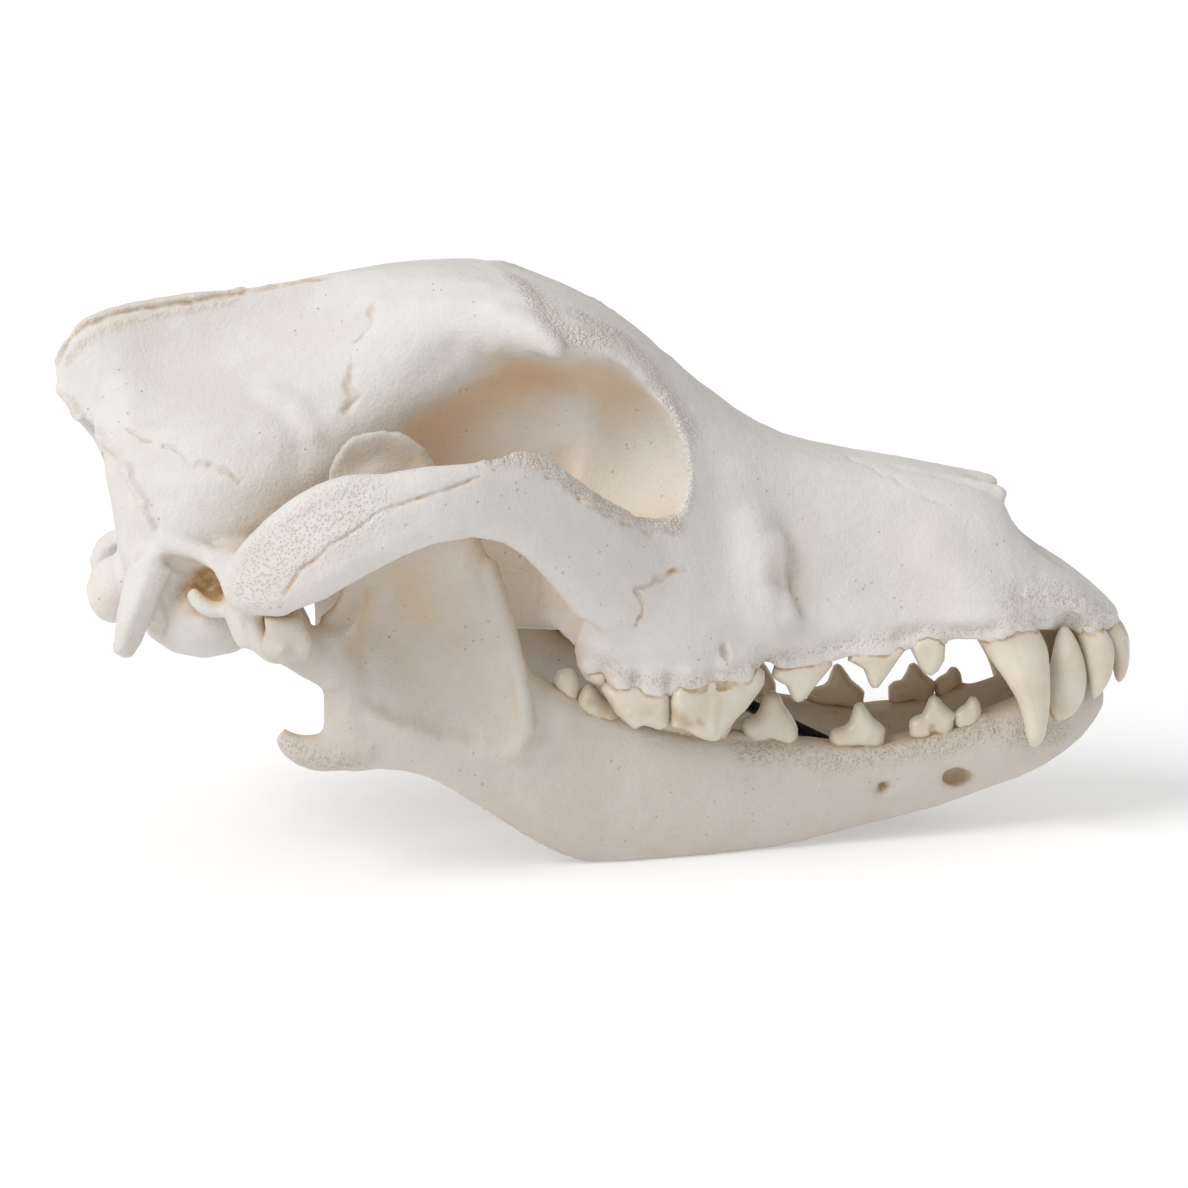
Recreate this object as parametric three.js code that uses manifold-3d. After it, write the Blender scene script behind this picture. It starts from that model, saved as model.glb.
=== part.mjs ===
// A large dog's skull, life size, at rest on its lower jaw.
// Millimetres. +X runs to the nose, +Y to the skull's left, +Z up, and the floor is z = 0.
import * as THREE from "three";
import { mergeVertices } from "three/addons/utils/BufferGeometryUtils.js";
import Module from "manifold-3d";

const wasm = await Module();
wasm.setup();

// Driving dimensions
const seam = 0.3; // gap kept open at each suture and joint
const ringSides = 24; // points round a section of the cranium
const ringsPerBay = 2; // rings between two stations of a loft
const big = 400; // side of a cutting block, larger than the skull

const boneLook = { color: 0xe9e4d9, roughness: 0.62, metalness: 0 };
const springLook = { color: 0x1d1c1b, roughness: 0.4, metalness: 0.8 };

// Solids
const vec = (p) => new THREE.Vector3(p[0], p[1], p[2]);

function solidOf(geometry, tolerance = 1e-4) {
  const bare = new THREE.BufferGeometry();
  bare.setAttribute("position", geometry.getAttribute("position").clone());
  bare.setIndex(geometry.index ? geometry.index.clone() : null);
  const merged = mergeVertices(bare, tolerance);
  const vertProperties = new Float32Array(merged.attributes.position.array);
  const triVerts = new Uint32Array(merged.index.array);
  return new wasm.Manifold(new wasm.Mesh({ numProp: 3, vertProperties, triVerts }));
}

function geometryOf(solid) {
  const mesh = solid.getMesh();
  const geometry = new THREE.BufferGeometry();
  geometry.setAttribute("position", new THREE.BufferAttribute(mesh.vertProperties, 3));
  geometry.setIndex(new THREE.BufferAttribute(mesh.triVerts, 1));
  geometry.computeVertexNormals();
  return geometry;
}

// The same solid on the other side of the skull's middle plane.
function mirrored(solid) {
  const geometry = geometryOf(solid).scale(1, -1, 1);
  const index = geometry.index.array;
  for (let i = 0; i < index.length; i += 3) {
    [index[i + 1], index[i + 2]] = [index[i + 2], index[i + 1]];
  }
  return solidOf(geometry);
}

const bothSides = (solid) => [solid, mirrored(solid)];
const joined = (solids) => solids.reduce((whole, piece) => whole.add(piece));
const without = (solid, cutters) => cutters.reduce((left, cutter) => left.subtract(cutter), solid);

// The largest closed surface of a solid, with slivers at its cuts welded away.
function mainBody(solid) {
  const largest = (whole) => whole.decompose().reduce((a, b) => (a.volume() > b.volume() ? a : b));
  return largest(solidOf(geometryOf(largest(solid)), 5e-2));
}

// A closed skin over rings of points, each ring turning the same way about the line of travel.
function skin(rings) {
  const sides = rings[0].length;
  const points = rings.flat();
  const faces = [];
  rings.slice(1).forEach((ring, r) => {
    for (let i = 0; i < sides; i++) {
      const [a, b] = [r * sides + i, r * sides + ((i + 1) % sides)];
      faces.push(a, a + sides, b, b, a + sides, b + sides);
    }
  });
  [0, rings.length - 1].forEach((r) => {
    const centre = rings[r].reduce((sum, p) => sum.add(p), new THREE.Vector3()).divideScalar(sides);
    points.push(centre);
    for (let i = 0; i < sides; i++) {
      const [a, b] = [r * sides + i, r * sides + ((i + 1) % sides)];
      faces.push(points.length - 1, ...(r === 0 ? [a, b] : [b, a]));
    }
  });
  const geometry = new THREE.BufferGeometry().setFromPoints(points).setIndex(faces);
  const solid = solidOf(geometry);
  return solid.volume() > 0 ? solid : solidOf(turnedOut(geometry));
}

function turnedOut(geometry) {
  const index = geometry.index.array;
  for (let i = 0; i < index.length; i += 3) {
    [index[i + 1], index[i + 2]] = [index[i + 2], index[i + 1]];
  }
  return geometry;
}

// One smooth line for each named level of a table of stations, [y, z] at each x.
function levelLines(stations, levels) {
  return levels.map((level) => {
    const points = stations.map((s) => new THREE.Vector3(s.x, s[level][0], s[level][1]));
    return new THREE.CatmullRomCurve3(points, false, "catmullrom", 0.5);
  });
}

// A body lofted along X, each section a smooth closed curve through the levels in turn.
function loft(stations, levels, sides, { mirror = false, rings: perBay = ringsPerBay } = {}) {
  const lines = levelLines(stations, levels);
  const steps = Math.round((stations.length - 1) * perBay);
  const rings = [];
  for (let k = 0; k <= steps; k++) {
    const corners = lines.map((line) => line.getPoint(k / steps));
    if (mirror) {
      const inner = corners.slice(1, -1).reverse();
      corners.push(...inner.map((p) => new THREE.Vector3(p.x, -p.y, p.z)));
    }
    const section = new THREE.CatmullRomCurve3(corners, true, "catmullrom", 0.5);
    rings.push(section.getPoints(sides).slice(0, sides));
  }
  return skin(rings);
}

function ellipsoid(centre, radii, [turnX, turnY, turnZ] = [0, 0, 0], around = 12, up = 8) {
  const geometry = new THREE.SphereGeometry(1, around, up).scale(...radii);
  geometry.rotateX(turnX).rotateY(turnY).rotateZ(turnZ).translate(...centre);
  return solidOf(geometry);
}

// A bar of oval section through stations { at, wide, tall }, with tall measured towards `up`.
function bar(stations, { sides = 12, steps = 12, up = [0, 0, 1], grow = 0 } = {}) {
  const path = new THREE.CatmullRomCurve3(stations.map((s) => vec(s.at)), false, "catmullrom", 0.5);
  const sizes = new THREE.CatmullRomCurve3(
    stations.map((s) => new THREE.Vector3(s.wide + grow, s.tall + grow, 0)), false, "catmullrom", 0.5);
  const rings = [];
  for (let k = 0; k <= steps; k++) {
    const ahead = path.getTangent(k / steps);
    const across = new THREE.Vector3().crossVectors(ahead, vec(up)).normalize();
    const upright = new THREE.Vector3().crossVectors(across, ahead);
    const { x: wide, y: tall } = sizes.getPoint(k / steps);
    const ring = [];
    for (let i = 0; i < sides; i++) {
      const angle = (2 * Math.PI * i) / sides;
      const point = path.getPoint(k / steps);
      point.addScaledVector(across, wide * Math.cos(angle));
      point.addScaledVector(upright, tall * Math.sin(angle));
      ring.push(point);
    }
    rings.push(ring);
  }
  return skin(rings);
}

// A block that fills the side of a plane that its normal points to.
function halfSpace(normal, distance) {
  const towards = vec(normal).normalize();
  const geometry = new THREE.BoxGeometry(big, big, big).translate(0, 0, big / 2);
  const turn = new THREE.Quaternion().setFromUnitVectors(new THREE.Vector3(0, 0, 1), towards);
  geometry.applyQuaternion(turn).translate(...towards.multiplyScalar(distance).toArray());
  return solidOf(geometry);
}

// Cranium: levels run from the top middle line round the side to the bottom middle line.
const cranialLevels = ["top", "flank", "roof", "wall", "side", "edge", "keel"];

// A section at x: heights on the middle line, and [half width, height] for the levels between.
function skullStation(x, top, flank, roof, wall, side, edge, keel) {
  const levels = { top: [0, top], flank, roof, wall, side, edge, keel: [0, keel] };
  const onRight = Object.entries(levels).map(([level, [halfWidth, z]]) => [level, [-halfWidth, z]]);
  return { x, ...Object.fromEntries(onRight) };
}

const braincaseStations = [
  skullStation(-110.5, 101.5, [1.6, 100.5], [2.2, 99], [2.8, 97.5], [3.2, 96.2], [1.8, 95.8], 95.5),
  skullStation(-106, 107.6, [1.8, 105.5], [3.2, 101], [5.6, 95.5], [9, 89.5], [5, 89], 88.8),
  skullStation(-100.5, 111.2, [2, 108.5], [4.5, 102], [10.5, 92], [17.5, 80.5], [10, 79.5], 79),
  skullStation(-97, 112.2, [2, 109.5], [5, 102.5], [15, 91], [24, 75], [17, 54], 53),
  skullStation(-91, 113.2, [2.1, 110], [5.6, 101], [19.5, 89.5], [29, 70], [19, 52], 51),
  skullStation(-82, 114.6, [2.2, 110.5], [7, 101], [23.4, 90], [30.6, 70], [19, 53], 51.5),
  skullStation(-70, 116.2, [2.4, 112.5], [8.6, 103.5], [26, 90], [30.6, 72], [19, 56], 53),
  skullStation(-57, 118.2, [3.5, 115.5], [11.5, 107], [25.8, 91], [28, 74], [17, 58], 56),
  skullStation(-45, 120, [7, 118], [16.5, 109], [23.5, 93], [21.5, 77], [14, 56], 54),
  skullStation(-34, 120.5, [11, 118.8], [19, 109.5], [20, 95], [14, 78], [12, 47], 46),
  skullStation(-24, 120.2, [15, 118.8], [21.5, 110], [17, 97], [12.5, 80], [12, 46.5], 46),
  skullStation(-14, 118, [21, 115.4], [29.5, 107], [16, 97], [12, 80], [12, 46], 46),
  skullStation(-5, 114.4, [19, 112.8], [28, 107.5], [18, 96], [13.5, 80], [12.5, 46], 46),
  skullStation(4, 109.2, [16, 108.4], [26, 104.4], [23, 92], [17, 78], [13, 47], 46),
  skullStation(13, 102.2, [14, 101.8], [22, 97.6], [23, 88], [20, 72], [14, 48], 47),
  skullStation(24, 91.8, [8, 91], [12, 88], [14, 78], [14, 66], [10, 52], 50),
];

// Face: maxilla, nasal bones and incisive bones.
const faceStations = [
  skullStation(-10, 70, [8, 69], [15, 66], [24, 61], [28, 55], [28.5, 48.5], 48),
  skullStation(-5, 84, [12, 83], [20, 78], [30, 68], [35, 56], [34.5, 44], 46),
  skullStation(3, 98, [16, 98], [27, 94], [34, 78], [37.5, 58], [35.5, 41], 46.5),
  skullStation(12, 102, [15, 101.6], [25.5, 94.6], [31.5, 78], [36, 58], [36, 40], 46.5),
  skullStation(21, 95.4, [13, 94.4], [21.5, 87], [28, 72], [32.5, 56], [34, 40.5], 46.5),
  skullStation(30, 88.6, [11.5, 87.2], [19, 80.4], [24.5, 69], [28.5, 55], [29.5, 41], 46.5),
  skullStation(40, 83.2, [10.5, 81.8], [16.5, 76.5], [20.5, 67], [24, 54], [25, 42], 46.5),
  skullStation(52, 80, [10, 79.2], [15.5, 74.5], [19, 65.5], [21.5, 54], [22, 43], 47),
  skullStation(64, 78, [10, 77], [15.5, 72.5], [18.5, 64], [20.5, 54], [20.5, 44], 47),
  skullStation(75, 75.4, [9.5, 74.4], [15.5, 70], [19, 62], [21.5, 53], [20.5, 44.5], 47),
  skullStation(84, 70.5, [8.5, 70.5], [15, 66.5], [18.5, 59.5], [21, 52], [19.5, 44.5], 47),
  skullStation(92, 60, [8, 60.5], [13, 58.5], [16.5, 54.5], [18, 50], [16.5, 44.5], 46),
  skullStation(100, 54, [7, 54.5], [11.5, 53.5], [14, 51], [15, 48], [13.5, 44], 45),
  skullStation(106, 49.5, [5, 49.8], [8.5, 49], [11, 47.5], [11.5, 46], [10, 43.5], 44),
  skullStation(110, 46.2, [3, 46.2], [5, 46], [6.5, 45.4], [6.5, 44.6], [5, 43.6], 43.6),
];

// Cheek arch, from its root over the molars back to its root in front of the ear.
const archStations = [
  { at: [12, -30, 60], wide: 4, tall: 12 },
  { at: [2, -38, 62], wide: 4.5, tall: 12.5 },
  { at: [-8, -44.5, 72], wide: 4, tall: 10.5 },
  { at: [-18, -51, 80], wide: 3.4, tall: 9 },
  { at: [-30, -56, 81.8], wide: 3.2, tall: 7.6 },
  { at: [-44, -58.5, 80], wide: 3.4, tall: 8.8 },
  { at: [-57, -56.5, 73.5], wide: 4, tall: 9.4 },
  { at: [-67, -50.5, 66.5], wide: 5, tall: 9 },
  { at: [-73.5, -41, 63], wide: 6.5, tall: 6 },
  { at: [-75, -28, 63], wide: 8, tall: 7 },
];
const cheekSuture = { normal: [-0.874, 0, 0.486], distance: 23.9 }; // cheek bone against the upper jaw bone
const templeSuture = { normal: [0.508, 0, -0.861], distance: -89.5 }; // cheek bone against the temple bone
const cheekBoneBack = { normal: [0.94, -0.34, 0], distance: -42.5 }; // cheek bone's tip at the jaw joint
const faceSuture = { normal: [0.863, 0, -0.505], distance: -28.7 }; // muzzle against the braincase
const capSuture = { normal: [-0.148, 0, 0.989], distance: 89.5, halfWidth: 36 }; // skull cap on its base

const archBar = (grow) => bar(archStations, { sides: 10, steps: 14, grow });

function cheekBone(grow) {
  const open = seam / 2 - grow;
  return archBar(grow)
    .intersect(halfSpace(cheekSuture.normal, cheekSuture.distance + open))
    .intersect(halfSpace(templeSuture.normal, templeSuture.distance + open))
    .intersect(halfSpace(cheekBoneBack.normal, cheekBoneBack.distance + open));
}

// Openings that can be seen into
const orbit = ellipsoid([3, -41, 89.7], [13.5, 26, 21.5], [0, -0.72, 0], 18, 10);
const earHole = ellipsoid([-80.6, -38, 60], [5, 14, 5.5], [0, 0, 0], 10, 6);
const underOrbit = ellipsoid([-13, -27, 60], [13, 12, 20], [0, 0, 0], 10, 8);
const lipCanal = ellipsoid([36.5, -25.4, 58.5], [4.5, 3, 5], [0, 0, 0], 10, 6); // infraorbital foramen
const fangNotch = ellipsoid([97.4, -14.6, 45], [3.6, 3, 3.4], [0, 0, 0], 10, 6); // room for the lower canine
const brainRoom = bar([
  { at: [-95.4, 0, 73], wide: 13, tall: 11 },
  { at: [-89, 0, 75.5], wide: 23, tall: 18.4 },
  { at: [-76, 0, 78], wide: 27.2, tall: 22 },
  { at: [-64, 0, 80], wide: 26.6, tall: 23.2 },
  { at: [-52, 0, 84], wide: 23, tall: 21.8 },
  { at: [-42, 0, 87], wide: 18, tall: 17.6 },
  { at: [-32, 0, 88.5], wide: 12, tall: 12.5 },
  { at: [-23, 0, 88.5], wide: 8, tall: 8 },
], { sides: 12, steps: 7 });
const lowerBrainRoom = bar([
  { at: [-93, 0, 66], wide: 9, tall: 6 },
  { at: [-82, 0, 66], wide: 22, tall: 9.6 },
  { at: [-68, 0, 67], wide: 23, tall: 9.6 },
  { at: [-56, 0, 70], wide: 15, tall: 8 },
], { sides: 8, steps: 3 });
const drumRoom = ellipsoid([-81, -20.5, 52.6], [11, 7, 7.4], [0, 0, 0], 10, 6);
const napeHollow = ellipsoid([-107.5, -9.5, 79], [8, 7, 13], [0, 0.5, 0.35], 10, 6); // under the nuchal crest
const spineHole = bar([
  { at: [-112, 0, 56], wide: 9.5, tall: 7 },
  { at: [-96, 0, 58.5], wide: 9.5, tall: 7.5 },
  { at: [-76, 0, 68], wide: 11, tall: 8 },
], { sides: 12, steps: 4 });
const noseRoom = bar([
  { at: [115, 0, 54], wide: 8.5, tall: 6.5 },
  { at: [101, 0, 59], wide: 10.4, tall: 8 },
  { at: [90, 0, 63], wide: 11.2, tall: 9.6 },
  { at: [81, 0, 62], wide: 10.2, tall: 7.8 },
  { at: [75, 0, 62], wide: 7.5, tall: 6 },
], { sides: 14, steps: 6 });
const throat = bar([
  { at: [-56, 0, 44], wide: 8.5, tall: 10 },
  { at: [-34, 0, 45], wide: 10, tall: 15 },
  { at: [-14, 0, 45], wide: 10, tall: 15 },
  { at: [-7, 0, 47], wide: 9, tall: 11 },
], { sides: 12, steps: 6 });
const noseBack = bar([
  { at: [-16, 0, 54.5], wide: 8.5, tall: 4.6 },
  { at: [16, 0, 56], wide: 7, tall: 4 },
], { sides: 12, steps: 3 });

// Knobs of the skull's base, on the right side
const neckKnob = ellipsoid([-98.9, -13.5, 56], [6.3, 6.2, 7.6], [-0.5, 0.1, 0], 12, 6); // occipital condyle
const earDrum = ellipsoid([-81, -20, 52.4], [13.5, 9.5, 9.8], [0, 0, 0], 12, 6); // tympanic bulla
const neckProcess = bar([
  { at: [-90, -26.5, 64], wide: 4.5, tall: 6 },
  { at: [-94.5, -28.5, 54], wide: 3.4, tall: 4.2 },
  { at: [-97.7, -30, 45.8], wide: 1.6, tall: 2 },
], { sides: 8, steps: 4, up: [1, 0, 0] });
const jointStop = bar([
  { at: [-74.5, -37, 64], wide: 9, tall: 4 },
  { at: [-74, -38.5, 56], wide: 8.5, tall: 3.2 },
  { at: [-72.4, -39.5, 49.5], wide: 6, tall: 1.8 },
], { sides: 8, steps: 4, up: [1, 0, 0] }); // retroarticular process
const eyeCorner = bar([
  { at: [-4, -42.6, 75], wide: 2.6, tall: 4 },
  { at: [-11.5, -46.8, 82], wide: 2.6, tall: 4.4 },
  { at: [-18, -50.4, 86.6], wide: 2.5, tall: 4 },
  { at: [-27, -54.4, 82.6], wide: 2.4, tall: 3.4 },
], { sides: 8, steps: 6 }); // frontal process of the cheek bone

// Teeth of the right side. A front tooth is a bent peg: wide runs across the row, tall along it.
const upperPegs = [
  [
    { at: [102, -2.7, 50], wide: 2, tall: 2.6 },
    { at: [108.3, -2.7, 44], wide: 2.2, tall: 3 },
    { at: [111, -2.7, 37], wide: 2.3, tall: 2.1 },
    { at: [111.6, -2.7, 31.4], wide: 1.7, tall: 0.7 },
  ],
  [
    { at: [100, -6.6, 51], wide: 2.2, tall: 2.8 },
    { at: [106.2, -7.4, 44.4], wide: 2.5, tall: 3.2 },
    { at: [109.2, -7.8, 37], wide: 2.6, tall: 2.3 },
    { at: [109.9, -7.8, 31], wide: 1.8, tall: 0.7 },
  ],
  [
    { at: [95.5, -10, 53], wide: 2.6, tall: 3 },
    { at: [101.6, -11.2, 46], wide: 3, tall: 3.5 },
    { at: [104.3, -12, 37], wide: 2.7, tall: 2.7 },
    { at: [104.4, -11.8, 28.8], wide: 0.8, tall: 0.7 },
  ],
  [
    { at: [76, -15.5, 60], wide: 3.6, tall: 5 },
    { at: [83.8, -18, 47], wide: 4.5, tall: 6.8 },
    { at: [88.2, -19.8, 36], wide: 3.8, tall: 5 },
    { at: [90.3, -19.6, 27], wide: 2.6, tall: 3 },
    { at: [90.1, -18.8, 20.2], wide: 0.6, tall: 0.7 },
  ],
];
const lowerPegs = [
  [
    { at: [102, -2.1, 26], wide: 1.4, tall: 2 },
    { at: [105.8, -2.1, 31], wide: 1.7, tall: 2.2 },
    { at: [107.9, -2.1, 36.8], wide: 1.5, tall: 0.7 },
  ],
  [
    { at: [100, -5, 26], wide: 1.6, tall: 2.2 },
    { at: [104, -5.5, 31], wide: 1.9, tall: 2.4 },
    { at: [106.3, -5.8, 37.4], wide: 1.7, tall: 0.7 },
  ],
  [
    { at: [97.5, -7.6, 26], wide: 1.8, tall: 2.4 },
    { at: [100.6, -8.2, 31.4], wide: 2.1, tall: 2.4 },
    { at: [101.6, -8.4, 37.2], wide: 1.8, tall: 0.7 },
  ],
  [
    { at: [88, -8, 18], wide: 3, tall: 4 },
    { at: [96, -11.4, 27], wide: 3.9, tall: 4.8 },
    { at: [98.6, -13.4, 36], wide: 2.9, tall: 3.4 },
    { at: [97, -14.2, 45], wide: 0.6, tall: 0.7 },
  ],
];

// A cheek tooth is a row of cusps: each stands at a neck, leans to a tip, and has a length along the row.
const cuspShape = [
  { rise: -0.4, length: 0.86, width: 0.86 },
  { rise: 0.16, length: 0.98, width: 1 },
  { rise: 0.62, length: 0.52, width: 0.6 },
  { rise: 1, length: 0.12, width: 0.16 },
];
const upperCusps = [
  { neck: [68, -20, 43.6], tip: [68.2, -20, 36.4], length: 8, width: 4.6, heading: 3 },
  { neck: [56.6, -21.2, 42.8], tip: [57, -21.2, 34.4], length: 12, width: 5.2, heading: 6 },
  { neck: [41, -24, 41.6], tip: [40, -24, 32.4], length: 13, width: 6, heading: 14 },
  { neck: [25, -31.4, 40.4], tip: [21.6, -33, 26.8], length: 16, width: 8, heading: 22 },
  { neck: [17, -34.8, 39.4], tip: [15.2, -35.4, 29.6], length: 11, width: 7.4, heading: 22 },
  { neck: [9, -36, 39.6], tip: [8.8, -37.2, 31.9], length: 7.6, width: 7.4, heading: 8 },
  { neck: [2.6, -35.6, 40.4], tip: [2.6, -36.6, 33.2], length: 6.6, width: 7, heading: 0 },
  { neck: [5, -29.5, 41.4], tip: [5.4, -28.6, 37.6], length: 9.5, width: 11, heading: 0 },
  { neck: [-3.2, -31.6, 43], tip: [-3.2, -32.4, 38.2], length: 6.6, width: 9, heading: -8 },
];
const lowerCusps = [
  { neck: [78.2, -13.4, 25.4], tip: [78.5, -13.4, 29.7], length: 5.7, width: 3.8, heading: 10 },
  { neck: [69.5, -14.6, 23.8], tip: [69.9, -14.6, 30.2], length: 9.8, width: 4.6, heading: 11 },
  { neck: [54, -17, 22.6], tip: [54, -17, 29.4], length: 11.8, width: 5.2, heading: 12 },
  { neck: [36.8, -20.6, 23.8], tip: [35.4, -20.6, 33.2], length: 12.4, width: 6, heading: 12 },
  { neck: [27.6, -22.6, 25.4], tip: [28.2, -22.8, 35.6], length: 10, width: 7, heading: 12 },
  { neck: [21.4, -24, 26.8], tip: [20.6, -24, 39.4], length: 12, width: 7.6, heading: 12 },
  { neck: [12.6, -25.8, 29], tip: [12.6, -25.8, 33.4], length: 8, width: 7.4, heading: 12 },
  { neck: [0.4, -28.4, 32.6], tip: [1.4, -28.6, 36], length: 8.6, width: 6.6, heading: 12 },
  { neck: [-7.8, -30.2, 36.8], tip: [-7.6, -30.2, 39.4], length: 4.8, width: 4.4, heading: 10 },
];
const pegOptions = { sides: 6, steps: 4, up: [1, 0, 0] };
const cuspSides = 6;

const peg = (stations) => bar(stations, pegOptions);

function cusp({ neck, tip, length, width, heading }) {
  const turn = THREE.MathUtils.degToRad(heading);
  const along = new THREE.Vector3(Math.cos(turn), Math.sin(turn), 0);
  const across = new THREE.Vector3(-Math.sin(turn), Math.cos(turn), 0);
  const rings = cuspShape.map((level) => {
    const ring = [];
    for (let i = 0; i < cuspSides; i++) {
      const angle = (2 * Math.PI * i) / cuspSides;
      const point = vec(neck).lerp(vec(tip), level.rise);
      point.addScaledVector(along, (length / 2) * level.length * Math.cos(angle));
      point.addScaledVector(across, (width / 2) * level.width * Math.sin(angle));
      ring.push(point);
    }
    return ring;
  });
  return skin(rings);
}

// Lower jaw, right half: levels run from the tooth edge down the outer face and up the inner face.
const jawLevels = ["crown", "outerHigh", "outer", "outerLow", "base", "innerLow", "inner", "innerHigh"];
const jawSides = 16;
const jawRingsPerBay = 1.6;

// A section at x: [y, z] for each level in turn.
function jawStation(x, ...points) {
  return { x, ...Object.fromEntries(jawLevels.map((level, i) => [level, points[i]])) };
}

const jawStations = [
  jawStation(-57.5, [-41.5, 80], [-42.2, 70], [-42.4, 50], [-42.4, 34],
    [-41.6, 28], [-40.8, 34], [-40.6, 50], [-40.8, 70]),
  jawStation(-54, [-41.2, 90.3], [-43, 78], [-42.6, 52], [-43.6, 31],
    [-41.6, 23.6], [-38.4, 31], [-38.8, 52], [-39.4, 78]),
  jawStation(-46, [-40.6, 93.8], [-42.6, 82], [-41, 54], [-43.4, 30],
    [-40.6, 24], [-37, 30], [-37, 54], [-38.8, 82]),
  jawStation(-38, [-39.6, 91.2], [-41.6, 80], [-39.8, 52], [-42, 28],
    [-38.6, 22], [-34.6, 28], [-35, 52], [-37.4, 80]),
  jawStation(-31, [-38.4, 81], [-40.4, 70], [-39.4, 48], [-40.2, 25],
    [-36.4, 17.4], [-32, 25], [-32.8, 48], [-35.8, 70]),
  jawStation(-24, [-37.4, 67.5], [-39.8, 57], [-39.6, 42], [-37.8, 22],
    [-33.8, 12.2], [-29.4, 21], [-30, 42], [-33.6, 57]),
  jawStation(-18, [-36, 46], [-38.8, 40], [-38.4, 31], [-36, 17],
    [-31.6, 7.6], [-27.2, 16], [-27.2, 31], [-30, 41]),
  jawStation(-10, [-31, 38.4], [-35, 35], [-35.6, 25], [-34, 12],
    [-29.4, 2.4], [-25.4, 12], [-24.6, 25], [-26.6, 36]),
  jawStation(0, [-28.6, 33], [-33, 30.6], [-33.6, 21], [-32, 7.4],
    [-27.4, -1.3], [-22.8, 8], [-22.2, 21], [-24, 31.6]),
  jawStation(12, [-26, 29.4], [-30.6, 27.4], [-31.2, 19], [-29.4, 6.4],
    [-25, -1.2], [-20.4, 6.4], [-19.8, 19], [-21.4, 28]),
  jawStation(24, [-23.6, 26], [-28, 24.2], [-28.6, 16.6], [-26.8, 5.8],
    [-22.4, -1.1], [-18, 5.8], [-17.4, 16.6], [-19, 25]),
  jawStation(36, [-20.8, 24], [-25, 22.4], [-25.6, 15.4], [-23.8, 5.8],
    [-19.6, -0.2], [-15.2, 5.8], [-14.8, 15.4], [-16.6, 23.4]),
  jawStation(48, [-18, 22.6], [-22, 21.2], [-22.6, 14.6], [-20.8, 6.2],
    [-16.6, 1.8], [-12, 6.2], [-11.6, 14.6], [-14, 22]),
  jawStation(60, [-15.8, 23], [-19.6, 21.6], [-20.2, 15], [-18, 7],
    [-13, 3.8], [-7.6, 7.4], [-7.4, 15], [-11.4, 22.4]),
  jawStation(71, [-13.8, 24], [-17.6, 22.4], [-18, 16], [-15, 8.2],
    [-9, 5.4], [-1.4, 8.4], [-1, 16], [-7.8, 23]),
  jawStation(81, [-12.6, 26], [-15.8, 24], [-16.4, 18], [-13, 11],
    [-7, 8.4], [0.6, 11], [0.8, 18], [-5.4, 25]),
  jawStation(90, [-11, 29.4], [-14.8, 27], [-15.4, 21], [-12, 14],
    [-6, 11], [0.6, 13.4], [0.8, 20], [-4.4, 28.4]),
  jawStation(98, [-8, 31], [-13.6, 28.6], [-13.8, 23], [-10, 17.4],
    [-5, 15.2], [0.6, 17], [0.8, 23], [-3, 30.4]),
  jawStation(104, [-4.4, 31.4], [-8.8, 29.6], [-9.2, 25.4], [-7, 21.6],
    [-3.4, 19.8], [0.6, 21], [0.8, 25.4], [-1.4, 31]),
  jawStation(107.5, [-2, 29.8], [-3.8, 28.8], [-4, 27], [-3, 25.2],
    [-1.6, 24.4], [0.4, 25], [0.5, 27], [0, 29.4]),
];

// Condyle, angular process and joint notch of the lower jaw
const jawKnob = ellipsoid([-65.8, -42, 51.4], [4.6, 10.5, 4.6], [0, 0, 0], 12, 6);
const jawNeck = bar([
  { at: [-65.4, -42.5, 50.5], wide: 7, tall: 3.4 },
  { at: [-58, -42, 48], wide: 3.4, tall: 6 },
  { at: [-50, -41, 46], wide: 2.2, tall: 8 },
], { sides: 10, steps: 5 });
const jawHook = bar([
  { at: [-48, -41, 29], wide: 3, tall: 4.5 },
  { at: [-57, -42, 28], wide: 3.2, tall: 4 },
  { at: [-63, -42, 29], wide: 2.8, tall: 3.2 },
  { at: [-66.4, -41.6, 32], wide: 1.6, tall: 1.6 },
], { sides: 10, steps: 8 }); // angular process
const jawNotch = bar([
  { at: [-59, -60, 62.5], wide: 5.5, tall: 6.5 },
  { at: [-59, -20, 62.5], wide: 5.5, tall: 6.5 },
], { sides: 14, steps: 1 });
const chinHoles = [
  ellipsoid([75.4, -17.6, 13.6], [4, 3, 2.2], [0, 0.2, 0], 10, 6),
  ellipsoid([58.5, -20, 12.7], [1.4, 3, 1.3], [0, 0, 0], 8, 6),
]; // mental foramina

function cranium() {
  const braincase = loft(braincaseStations, cranialLevels, ringSides, { mirror: true });
  const face = loft(faceStations, cranialLevels, ringSides, { mirror: true });
  const rightSide = [archBar(0), neckKnob, earDrum, neckProcess, jointStop];
  rightSide.push(...upperPegs.map(peg), ...upperCusps.map(cusp));
  const dents = [orbit, underOrbit, lipCanal, fangNotch].flatMap(bothSides);
  const bare = without(joined([braincase, face]), dents);
  const whole = joined([bare, ...rightSide.flatMap(bothSides)]);
  const middle = [brainRoom, lowerBrainRoom, spineHole, noseRoom, throat, noseBack];
  const paired = [earHole, drumRoom, napeHollow, cheekBone(seam)].flatMap(bothSides);
  return without(whole, [...middle, ...paired]);
}

// The space above the skull cap's suture, between the cheek arches.
function capSpace(grow) {
  const walls = [[0, 1, 0], [0, -1, 0]].map((normal) => halfSpace(normal, -capSuture.halfWidth - grow));
  const above = halfSpace(capSuture.normal, capSuture.distance + seam / 2 - grow);
  return walls.reduce((space, wall) => space.intersect(wall), above);
}

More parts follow.
